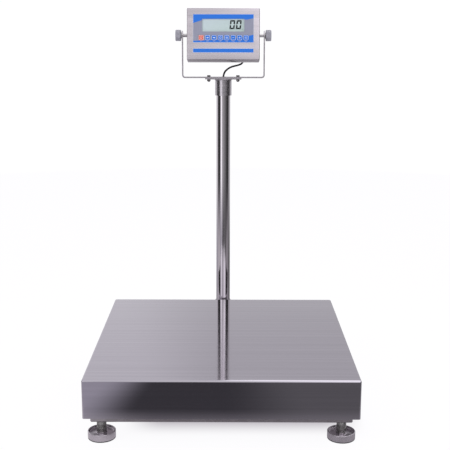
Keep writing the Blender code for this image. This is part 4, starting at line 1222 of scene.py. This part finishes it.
case_half = front_high.x
for side, axis, label in ((-1, "-X", "left"), (1, "X", "right")):
    stud_low, stud_high = local_box("pivot_stud_" + label)
    washer_low, washer_high = local_box("knob_washer_" + label)
    knob_low, knob_high = local_box("knob_" + label)
    reach = [sorted(abs(v) for v in (a.x, b.x))
             for a, b in ((stud_low, stud_high), (washer_low, washer_high),
                          (knob_low, knob_high))]
    (stud_in, stud_out), (washer_in, washer_out), (knob_in, knob_out) = reach
    spacer_in, spacer_out = case_half + FIT, bail_inner - FIT
    nut_out = case_half - CASE_SHEET - FIT
    stud = turned("pivot_stud_fine_" + label,
                  [(0.0, stud_out), (PIVOT_SHANK - 0.0005, stud_out),
                   (PIVOT_SHANK, stud_out - 0.0005), (PIVOT_SHANK, spacer_out),
                   (SPACER - 0.0004, spacer_out), (SPACER, spacer_out - 0.0004),
                   (SPACER, spacer_in + 0.0004), (SPACER - 0.0004, spacer_in),
                   (PIVOT_SHANK, spacer_in), (PIVOT_SHANK, nut_out), (PIVOT_NUT, nut_out),
                   (PIVOT_NUT, stud_in), (0.0, stud_in)], 48, axis)
    finish_piece(stud, "indicator", stud_steel, "polished_stainless",
                 ["pivot_stud_" + label], tilted)
    washer_radius = (washer_high.z - washer_low.z) / 2
    washer = turned("knob_washer_fine_" + label,
                    [(PIVOT_HOLE, washer_out), (washer_radius - 0.0003, washer_out),
                     (washer_radius, washer_out - 0.0003), (washer_radius, washer_in),
                     (PIVOT_HOLE, washer_in)], 64, axis, ring=True)
    finish_piece(washer, "indicator", zinc, "zinc_steel", ["knob_washer_" + label], tilted)
    knob_radius = (knob_high.z - knob_low.z) / 2
    knob = lobed_knob("knob_fine_" + label, knob_radius, knob_out - knob_in, PIVOT_HOLE,
                      KNOB_BORE)
    lean = Matrix.Rotation(side * math.pi / 2, 4, "Y")
    finish_piece(knob, "knob_" + label, knob_plastic, "knob_plastic", ["knob_" + label],
                 tilted @ Matrix.Translation((side * knob_in, 0, 0)) @ lean)
print("pivots and knobs made")

# %% [markdown]
# ## Printed film
# The film's print is worked out from its own width and height: a blue head band that deepens
# at the left, a blue sweep that climbs to the right, grey between and a pale border. Comparing
# a height with a curve gives crisp edges at any distance.

# %% Printed film
FILM_BLUE = (0.008, 0.17, 0.74)
FILM_GREY = (0.30, 0.31, 0.41)
FILM_PALE = (0.75, 0.82, 0.92)
FILM_BORDER = 0.0006
FILM_CORNER = 0.0015
PRINT_EDGE = 0.00005

film_size = film_high - film_low


def film_paint_base(name, roughness=0.32):
    paint = Paint(name, Metallic=0.0, Coat_Weight=0.25, Coat_Roughness=0.12)
    fine = paint.noise(paint.place(), 1400.0, 2.0)
    paint.set("Roughness", (fine - 0.5) * 0.10 + roughness)
    paint.bump(fine, 0.12, 0.00004)
    return paint


def border_of(low, high, x, z):
    """1 on a narrow border just inside a rectangle's edges, 0 further in."""
    near_x = (x - low.x).math("MINIMUM", high.x - x)
    near_z = (z - low.z).math("MINIMUM", high.z - z)
    return 1.0 - near_x.math("MINIMUM", near_z).smooth(FILM_BORDER * 0.8, FILM_BORDER)


film_paint = film_paint_base("film_print")
x, _, z = film_paint.axes(film_paint.place(pivot, tilt_turn))
across = x - film_low.x
up = z - film_low.z
down = film_high.z - z
share = across / film_size.x
head_left = 0.024 - across / 3.0
head_right = (0.0145 - (across - 0.1455) * 0.21).math("MINIMUM", 0.0145)
in_head = (head_left.math("MAXIMUM", head_right) - down).smooth(-PRINT_EDGE, PRINT_EDGE)
sweep = share * 0.004 + share * share * share * 0.0125 + 0.0048
in_sweep = (sweep - up).smooth(-PRINT_EDGE, PRINT_EDGE)
blue = in_head.math("MAXIMUM", in_sweep)
grain = film_paint.noise(film_paint.place(pivot, tilt_turn, (900.0, 1.0, 30.0)), 1.0, 2.0)
grey = film_paint.mix(grain, [v * 0.86 for v in FILM_GREY], [v * 1.12 for v in FILM_GREY])
printed = film_paint.mix(blue, grey, FILM_BLUE)
border = border_of(film_low, film_high, x, z)
film_paint.set("Base Color", film_paint.mix(border, printed, FILM_PALE))

outline = rounded_rectangle(film_size.x, film_size.z, FILM_CORNER,
                            (0.0, (film_low.z + film_high.z) / 2))
window = rounded_rectangle(window_high.x - window_low.x, window_high.z - window_low.z, 0.001,
                           ((window_low.x + window_high.x) / 2,
                            (window_low.z + window_high.z) / 2))
key_size = keys[0][1] - keys[0][0]
key_holes = [rounded_rectangle(key_size.x + 2 * KEY_ROOM, key_size.z + 2 * KEY_ROOM,
                               KEY_HOLE_CORNER, ((low.x + high.x) / 2, (low.z + high.z) / 2))
             for low, high in keys]
film = flat_piece("overlay_film", [outline, window, *key_holes], film_size.y,
                  upright_at((film_low.y + film_high.y) / 2))
finish_piece(film, "indicator", film_paint.material, "overlay_film", ["overlay"], tilted)

# %% [markdown]
# ## Blue strip
# A plain blue strip sits below the film. It is a separate, thinner label, left blank here.

# %% Blue strip
STRIP_TOP = -0.0385
STRIP_FOOT = -0.0497
STRIP_SHEET = 0.0004

strip_paint = film_paint_base("strip_print", 0.28)
x, _, z = strip_paint.axes(strip_paint.place(pivot, tilt_turn))
strip_low = Vector((film_low.x, 0, STRIP_FOOT))
strip_high = Vector((film_high.x, 0, STRIP_TOP))
border = border_of(strip_low, strip_high, x, z)
strip_paint.set("Base Color", strip_paint.mix(border, FILM_BLUE, FILM_PALE))
strip_middle = (0.0, (STRIP_TOP + STRIP_FOOT) / 2)
outline = rounded_rectangle(film_size.x, STRIP_TOP - STRIP_FOOT, FILM_CORNER, strip_middle)
strip = flat_piece("blue_strip", [outline], STRIP_SHEET,
                   upright_at(front_low.y - STRIP_SHEET / 2 + 0.00002))
finish_piece(strip, "indicator", strip_paint.material, "overlay_film", (), tilted)
print("film and strip made")

# %% [markdown]
# ## Keys
# Each key is a soft rounded button that rides on its own body, so it sinks when pressed. The
# white outline is a rounded square drawn by distance, repeated at the keys' pitch. The
# symbols are simple shapes with no letters.

# %% Key materials
KEY_CORNER = 0.0026
KEY_OUTLINE = 0.0008
KEY_RED = (0.80, 0.115, 0.065)
KEY_WHITE = (0.82, 0.85, 0.90)

key_pitch = (keys[-1][0].x - keys[0][0].x) / (len(keys) - 1)
first_key = (keys[0][0] + keys[0][1]) / 2


def key_paint(name, colour):
    paint = film_paint_base(name, 0.36)
    x, _, z = paint.axes(paint.place(pivot, tilt_turn))
    steps = (x - first_key.x) / key_pitch
    from_middle = (steps - steps.math("ROUND")) * key_pitch
    half = key_size.x / 2 - 0.0006
    side = (abs(from_middle) - (half - KEY_CORNER)).math("MAXIMUM", 0.0)
    rise = (abs(z - first_key.z) - (half - KEY_CORNER)).math("MAXIMUM", 0.0)
    reach = (side * side + rise * rise).math("SQRT")
    line = 1.0 - abs(reach - (KEY_CORNER - KEY_OUTLINE / 2)).smooth(KEY_OUTLINE * 0.45,
                                                                    KEY_OUTLINE * 0.6)
    paint.set("Base Color", paint.mix(line, colour, KEY_WHITE))
    return paint.material


key_blue = key_paint("key_blue", FILM_BLUE)
key_red = key_paint("key_red", KEY_RED)
white_ink = film_paint_base("white_ink", 0.4).set("Base Color", KEY_WHITE).material


# %% Key symbols
def bar(width, height, x=0.0, z=0.0, turn=0.0):
    corners = [(-width / 2, -height / 2), (width / 2, -height / 2), (width / 2, height / 2),
               (-width / 2, height / 2)]
    cos, sin = math.cos(turn), math.sin(turn)
    return [(x + cos * a - sin * b, z + sin * a + cos * b) for a, b in corners]


def arrow(sign):
    tip = [(sign * 0.0030, 0.0), (0.0, sign * 0.0022), (0.0, sign * 0.0007),
           (-sign * 0.0030, sign * 0.0007), (-sign * 0.0030, -sign * 0.0007),
           (0.0, -sign * 0.0007), (0.0, -sign * 0.0022)]
    return [tip]


LINE = 0.0007
POWER = [arc((0, 0), 0.0029, 120, 420, 24) + arc((0, 0), 0.0029 - LINE, 420, 120, 24),
         bar(LINE, 0.0030, 0.0, 0.0021)]
SYMBOLS = [POWER, arrow(-1), arrow(1), [circle(0, 0, 0.0028), circle(0, 0, 0.0020)],
           [bar(0.0058, LINE, 0, 0.0018), bar(0.0058, LINE), bar(0.0058, LINE, 0, -0.0018)],
           [bar(0.0052, 0.0009)],
           [[(-0.0026, -0.00045), (-0.00045, -0.00045), (-0.00045, -0.0026),
             (0.00045, -0.0026), (0.00045, -0.00045), (0.0026, -0.00045), (0.0026, 0.00045),
             (0.00045, 0.00045), (0.00045, 0.0026), (-0.00045, 0.0026), (-0.00045, 0.00045),
             (-0.0026, 0.00045)]],
           [rounded_rectangle(0.0056, 0.0044, 0.0008), rounded_rectangle(0.0042, 0.0030, 0.0004)]]
INK = 0.00008

for number, ((low, high), symbol) in enumerate(zip(keys, SYMBOLS), 1):
    middle_x, middle_z = (low.x + high.x) / 2, (low.z + high.z) / 2
    outline = rounded_rectangle(high.x - low.x, high.z - low.z, KEY_CORNER,
                                (middle_x, middle_z), 8)
    depth = high.y - low.y
    key = flat_piece(f"key_fine_{number}", [outline], depth,
                     upright_at(low.y + depth / 2))
    key = reshade(applied(edge_round(key, 0.0005, 3, 60.0)), 50.0)
    finish_piece(key, f"key_{number}", key_blue if number > 1 else key_red,
                 "key_blue" if number > 1 else "key_red", [f"key_{number}"], tilted)
    placed = [[(x + middle_x, z + middle_z) for x, z in shape] for shape in symbol]
    mark = flat_piece(f"key_symbol_{number}", placed, INK,
                      upright_at(low.y - INK / 4))
    finish_piece(mark, f"key_{number}", white_ink, "overlay_film", (), tilted)

# %% Key legends
plan = Growth("key_legends", Keys=len(keys), Pitch=key_pitch, Wide=0.0062, Tall=0.0006)
line = plan.node("MeshLine", Count=plan.size("Keys"),
                 Offset=plan.node(".ShaderNodeCombineXYZ", X=plan.size("Pitch")))
dash_size = plan.node(".ShaderNodeCombineXYZ", X=plan.size("Wide"), Y=INK,
                      Z=plan.size("Tall"))
dash = plan.node("MeshCube", Size=dash_size)
legends = plan.grown(plan.node("InstanceOnPoints", Points=line, Instance=dash), white_ink)
legend_place = Matrix.Translation((first_key.x, film_low.y - INK / 4,
                                   first_key.z - key_size.z / 2 - 0.0019))
finish_piece(legends, "indicator", white_ink, "overlay_film", (), tilted @ legend_place)
print("keys made:", len(keys))

# %% [markdown]
# ## Display
# The liquid-crystal panel sits behind the window. Its digits are slanted seven-segment
# zeros, each a frame cut by mitres at its corners and gaps at its waist. Drawing each
# segment as a thin solid keeps it sharp up close.

# %% Display
LCD_COLOUR = (0.60, 0.70, 0.76)
LCD_PAINTED_SHADE = (0.50, 0.62, 0.60)
DIGIT_HEIGHT = 0.0240
DIGIT_WIDTH = 0.0135
DIGIT_STROKE = 0.0040
DIGIT_PITCH = 0.0172
DIGIT_SLANT = math.tan(math.radians(6.0))
SEGMENT_GAP = 0.00035

lcd = film_paint_base("lcd_glass", 0.22)
x, _, z = lcd.axes(lcd.place(pivot, tilt_turn))
# Painted shade: the panel's colour darkens towards the right and towards the bottom.
painted_shade_fall = ((x - panel_low.x) / (panel_high.x - panel_low.x) * 0.6
        + (panel_high.z - z) / (panel_high.z - panel_low.z) * 0.4)
cloud = lcd.noise(lcd.place(pivot, tilt_turn), 40.0, 2.0)
lcd.set("Base Color", lcd.mix(painted_shade_fall + (cloud - 0.5) * 0.2, LCD_COLOUR, LCD_PAINTED_SHADE))
panel_size = panel_high - panel_low
panel = solid_box("display_panel_fine", panel_size, (panel_low + panel_high) / 2)
edge_round(panel, 0.0004, 2)
finish_piece(applied(panel), "indicator", lcd.material, "lcd_glass", ["display_panel"], tilted)


def zero_digit(left, foot):
    """Six segments with mitred outer corners, as on a liquid-crystal display."""
    stroke, gap, right, top = DIGIT_STROKE, SEGMENT_GAP, DIGIT_WIDTH, DIGIT_HEIGHT
    end = [(gap, 0.0), (right - gap, 0.0), (right - stroke - gap, stroke), (stroke + gap, stroke)]
    waist = top / 2 - gap
    side = [(0.0, gap), (stroke, stroke + gap), (stroke, waist - stroke / 2), (0.0, waist)]
    segments = [end, [(x, top - z) for x, z in end], side,
                [(right - x, z) for x, z in side], [(x, top - z) for x, z in side],
                [(right - x, top - z) for x, z in side]]
    return [[(left + x, foot + z) for x, z in shape] for shape in segments]


digit_foot = window_low.z + 0.0068
digits_left = film_low.x + 0.0972
shapes = zero_digit(digits_left, digit_foot) + zero_digit(digits_left + DIGIT_PITCH, digit_foot)
point_x = digits_left + (DIGIT_WIDTH + DIGIT_PITCH) / 2
shapes.append(bar(0.0015, 0.0015, point_x, digit_foot + 0.00075))
unit_x = digits_left + DIGIT_PITCH + DIGIT_WIDTH + 0.0030
shapes += [bar(0.0036, 0.0006, unit_x + 0.0012, digit_foot + 0.0002)]
slanted = [[(x + (z - digit_foot) * DIGIT_SLANT, z) for x, z in shape] for shape in shapes]
lcd_ink = film_paint_base("lcd_ink", 0.5).set("Base Color", (0.004, 0.005, 0.008))
lcd_ink = lcd_ink.set("Coat Weight", 0.0).set("Specular IOR Level", 0.2).material
digits = flat_piece("display_digits", slanted, INK,
                    upright_at(panel_low.y - INK / 4))
finish_piece(digits, "indicator", lcd_ink, "lcd_glass", (), tilted)
print("display made")

# %% [markdown]
# ## Gland, inlet, board and battery
# The gland is a clamping nut over a hexagon body. Its grip is a ring of ribs, grown on a
# circle of points. The board and the battery are inside, seen only through gaps, so the
# frame's own solids are kept and given materials.

# %% Cable gland and power inlet
RIB_COUNT = 24

gland_length = gland_high.y - rear_high.y
gland_radius = (gland_high.z - gland_low.z) / 2
neck = GLAND_HOLE - FIT
grip = gland_radius * 0.80
body = [(0.0, gland_length)] + arc((CABLE_RADIUS * 1.6, gland_length - 0.0012), 0.0012, 90, 0, 4)
body += [(grip * 0.80, gland_length * 0.78), (grip * 0.92, gland_length * 0.72),
         (grip * 0.95, gland_length * 0.36), (neck, gland_length * 0.35),
         (neck, gland_low.y - rear_high.y), (0.0, gland_low.y - rear_high.y)]
gland = turned("gland", body, 64, "Y", (gland_spot.x, rear_high.y, gland_spot.z))
nut = hexagon("gland_nut", gland_radius * math.sqrt(3) * 0.99, gland_length * 0.33,
              (gland_spot.x, rear_high.y + FIT, gland_spot.z), "Y")
finish_piece(merged("cable_gland_fine", [gland, nut]), "indicator", black_plastic,
             "black_plastic", ["cable_gland"], tilted)

plan = Growth("gland_ribs", Count=RIB_COUNT, Radius=grip * 0.94, Tall=gland_length * 0.34,
              Wide=grip * 0.12)
ring = plan.node("MeshCircle", Vertices=plan.size("Count"), Radius=plan.size("Radius"))
rib_size = plan.node(".ShaderNodeCombineXYZ", X=plan.size("Wide"), Y=plan.size("Wide"),
                     Z=plan.size("Tall"))
rib = plan.node("MeshCube", Size=rib_size)
ribs = plan.grown(plan.node("InstanceOnPoints", Points=ring, Instance=rib), black_plastic)
rib_place = (Matrix.Translation((gland_spot.x, rear_high.y + gland_length * 0.54, gland_spot.z))
             @ Matrix.Rotation(-math.pi / 2, 4, "X"))
finish_piece(ribs, "indicator", black_plastic, "black_plastic", (), tilted @ rib_place)

inlet_radius = (inlet_high.z - inlet_low.z) / 2
flange_out = inlet_high.y - rear_high.y
inlet = turned("power_inlet_fine",
               [(0.0, -0.006), (0.00275, -0.006), (0.00275, flange_out - 0.0003),
                (0.00305, flange_out), (inlet_radius - 0.0006, flange_out),
                (inlet_radius, flange_out - 0.0006), (inlet_radius, FIT), (neck, FIT),
                (neck, inlet_low.y - rear_high.y), (0.0, inlet_low.y - rear_high.y)], 64, "Y",
               (inlet_spot.x, rear_high.y, inlet_spot.z))
finish_piece(inlet, "indicator", black_plastic, "black_plastic", ["power_inlet"], tilted)
pin = turned("inlet_pin", [(0.0, 0.0056)] + arc((0.0004, 0.0050), 0.0006, 90, 0, 4)
             + [(0.0010, 0.0), (0.0, 0.0)], 24, "Y",
             (inlet_spot.x, rear_high.y - 0.0062, inlet_spot.z))
finish_piece(pin, "indicator", stud_steel, "polished_stainless", (), tilted)
print("gland and inlet made")


# %% Finishes on the frame's own solids
def paint_nodes(finish, *nodes):
    """The frame's own solid is kept, with a finish from this file."""
    for node in nodes:
        mesh = frame["nodes"][node].data
        mesh.materials.clear()
        mesh.materials.append(finish)


paint_nodes(board_green, "circuit_board")
paint_nodes(black_plastic, "battery_pack")
paint_nodes(frame_paint, "base_frame")
paint_nodes(cast, "live_frame")
paint_nodes(cell_metal, "load_cell")
paint_nodes(zinc, "load_cell_spacer_lower", "load_cell_spacer_upper",
            *[f"load_cell_bolt_{n}" for n in range(1, 5)])
paint_nodes(cushion_rubber, *[f"pan_cushion_{n}" for n in range(1, 5)])
print("frame solids painted")

# %% [markdown]
# ## Stage and light
# The floor is a wide pale sheet which fades into the world's colour with distance, so no
# horizon shows from any side. Under the platform its glow is darkened by a soft painted
# shadow. Brushed steel only looks like steel when it mirrors something dark beside something
# bright. Mirrored rays therefore meet a darker floor near by, and past it a studio whose
# panels are bands of brightness round the compass: bright behind the object, dark at both
# sides and brightest in front on the left. A pale panel stands above the front, and another
# makes the roof.

# %% World
WORLD_COLOUR = (0.985, 0.98, 0.995)
WORLD_LIGHT = 0.68
BACKDROP = 1.04
PANELS = [(-180, 0.58), (-171, 0.72), (-150, 0.80), (-112, 0.78), (-92, 0.06), (-54, 0.03),
          (-45, 0.60), (-33, 1.7), (-24, 1.3), (-13, 0.42), (12, 0.34), (24, 0.22), (46, 0.16),
          (58, 0.05), (94, 0.04), (114, 0.62), (168, 0.56), (180, 0.58)]
UPPER_LEFT = 0.76
UPPER_RIGHT = 1.45

scene = bpy.context.scene
scene.view_settings.view_transform = "Standard"
world = bpy.data.worlds.new("studio")
scene.world = world
world.use_nodes = True
sky = Graph(world.node_tree)
seen_sky = sky.tree.nodes["Background"]
seen_sky.inputs["Color"].default_value = (*WORLD_COLOUR, 1.0)
seen_sky.inputs["Strength"].default_value = BACKDROP
toward = sky.node("ShaderNodeTexCoord")
east, north, height = sky.axes(toward)
compass = sky.node("ShaderNodeMath", {"operation": "ARCTAN2"}, east, north * -1.0)
ramp = sky.tree.nodes.new("ShaderNodeValToRGB")
sky.feed(ramp.inputs[0], compass / (2 * math.pi) + 0.5)
ramp.color_ramp.interpolation = "EASE"
while len(ramp.color_ramp.elements) < len(PANELS):
    ramp.color_ramp.elements.new(0.5)
for stop, (degrees, glow) in zip(ramp.color_ramp.elements, PANELS):
    stop.position = degrees / 360.0 + 0.5
    stop.color = (glow, glow, glow, 1.0)
panels = Wire(sky, ramp.outputs[0])
to_right = compass.smooth(math.radians(-8), math.radians(34))
upper = to_right * (UPPER_RIGHT - UPPER_LEFT) + UPPER_LEFT
in_front = 1.0 - abs(compass - math.radians(10)).smooth(math.radians(24), math.radians(40))
front_panel = height.smooth(0.02, 0.24) * in_front
roof_panel = height.smooth(0.46, 0.72)
studio = panels + front_panel.math("MAXIMUM", roof_panel) * (upper - panels)
mirrored_sky = sky.tree.nodes.new("ShaderNodeBackground")
sky.feed(mirrored_sky.inputs["Strength"], studio)
mirrored_sky.inputs["Color"].default_value = (0.97, 0.95, 1.0, 1.0)
lit_sky = sky.tree.nodes.new("ShaderNodeBackground")
lit_sky.inputs["Strength"].default_value = WORLD_LIGHT
sky_ray = sky.tree.nodes.new("ShaderNodeLightPath")
unseen = sky.layered(sky_ray.outputs["Is Glossy Ray"], lit_sky.outputs[0],
                     mirrored_sky.outputs[0])
sky.tree.links.new(sky.layered(sky_ray.outputs["Is Camera Ray"], unseen, seen_sky.outputs[0]),
                   sky.tree.nodes["World Output"].inputs[0])

# %% Floor
FLOOR_COLOUR = (0.90, 0.89, 0.92)
FLOOR_REACH = 9.0
FLOOR_GLOW = 0.93
PAINTED_SHADOW_COLOUR = (0.20, 0.15, 0.21)
SHADE_SHIFT = 0.05
SHADE_ACROSS = (0.18, 0.29)
SHADE_BACK = (0.15, 0.30)
MIRROR_DARK = (0.055, 0.052, 0.060)
MIRROR_NEAR = (0.32, 0.30, 0.33)
MIRROR_NEAR_LEFT = (0.56, 0.53, 0.57)
MIRROR_PALE = (0.42, 0.40, 0.46)
MIRROR_RIGHT = (0.13, 0.125, 0.135)

shape = bmesh.new()
bmesh.ops.create_circle(shape, cap_ends=True, segments=96, radius=FLOOR_REACH)
floor = mesh_object("floor", shape)
floor_paint = Paint("floor_paint", Roughness=0.6)
floor_paint.set("Base Color", FLOOR_COLOUR)
across, back, _ = floor_paint.axes(floor_paint.place())
distance = (across * across + back * back).math("SQRT")
tree = floor_paint.tree
glow = tree.nodes.new("ShaderNodeEmission")
glow.inputs["Strength"].default_value = BACKDROP
# Painted shadow: under the platform, a little right of its middle, the floor's glow darkens to a
# soft purple-grey.
open_side = abs(across - SHADE_SHIFT).smooth(*SHADE_ACROSS)
open_front = abs(back).smooth(*SHADE_BACK)
lit = 1.0 - (1.0 - open_side) * (1.0 - open_front)
floor_paint.feed(glow.inputs["Color"], floor_paint.mix(lit, PAINTED_SHADOW_COLOUR, WORLD_COLOUR))
clear = tree.nodes.new("ShaderNodeBsdfTransparent")
dim = tree.nodes.new("ShaderNodeEmission")
left_patch = 1.0 - across.smooth(-0.40, -0.225)
right_patch = across.smooth(0.0, 0.25)
floor_tone = floor_paint.mix(left_patch, floor_paint.mix(right_patch, MIRROR_DARK, MIRROR_RIGHT),
                             MIRROR_PALE)
close = 1.0 - abs(back).smooth(0.36, 0.56)
near_left = 1.0 - across.smooth(-0.30, -0.16)
near_tone = floor_paint.mix(near_left, MIRROR_NEAR, MIRROR_NEAR_LEFT)
floor_tone = floor_paint.mix(close, floor_tone, near_tone)
floor_paint.feed(dim.inputs["Color"], floor_tone)
ray = tree.nodes.new("ShaderNodeLightPath")
fading = distance.smooth(1.6, 4.2).math("MAXIMUM", FLOOR_GLOW)
seen = floor_paint.layered(fading.socket, floor_paint.shader.outputs[0], glow.outputs[0])
mirrored = floor_paint.layered(distance.smooth(0.9, 3.2).socket, dim.outputs[0],
                               clear.outputs[0])
tree.links.new(floor_paint.layered(ray.outputs["Is Glossy Ray"], seen, mirrored),
               tree.nodes["Material Output"].inputs[0])
floor.data.materials.append(floor_paint.material)


# %% Lights
def soft_box(name, place, target, width, height, power):
    lamp = bpy.data.lights.new(name, "AREA")
    lamp.shape = "RECTANGLE"
    lamp.size = width
    lamp.size_y = height
    lamp.energy = power
    made = bpy.data.objects.new(name, lamp)
    made.location = place
    aim = Vector(target) - Vector(place)
    made.rotation_euler = aim.to_track_quat("-Z", "Y").to_euler()
    made.visible_glossy = False
    scene.collection.objects.link(made)
    return made


soft_box("key_left", (-1.9, -1.5, 1.9), (0.0, 0.0, 0.4), 1.0, 1.4, 19.0)
soft_box("fill_right", (2.2, -0.7, 1.3), (0.0, 0.1, 0.5), 0.6, 1.8, 12.0)
soft_box("overhead", (0.0, 0.6, 2.6), (0.0, 0.0, 0.2), 1.8, 1.0, 12.0)
print("stage and lights made")
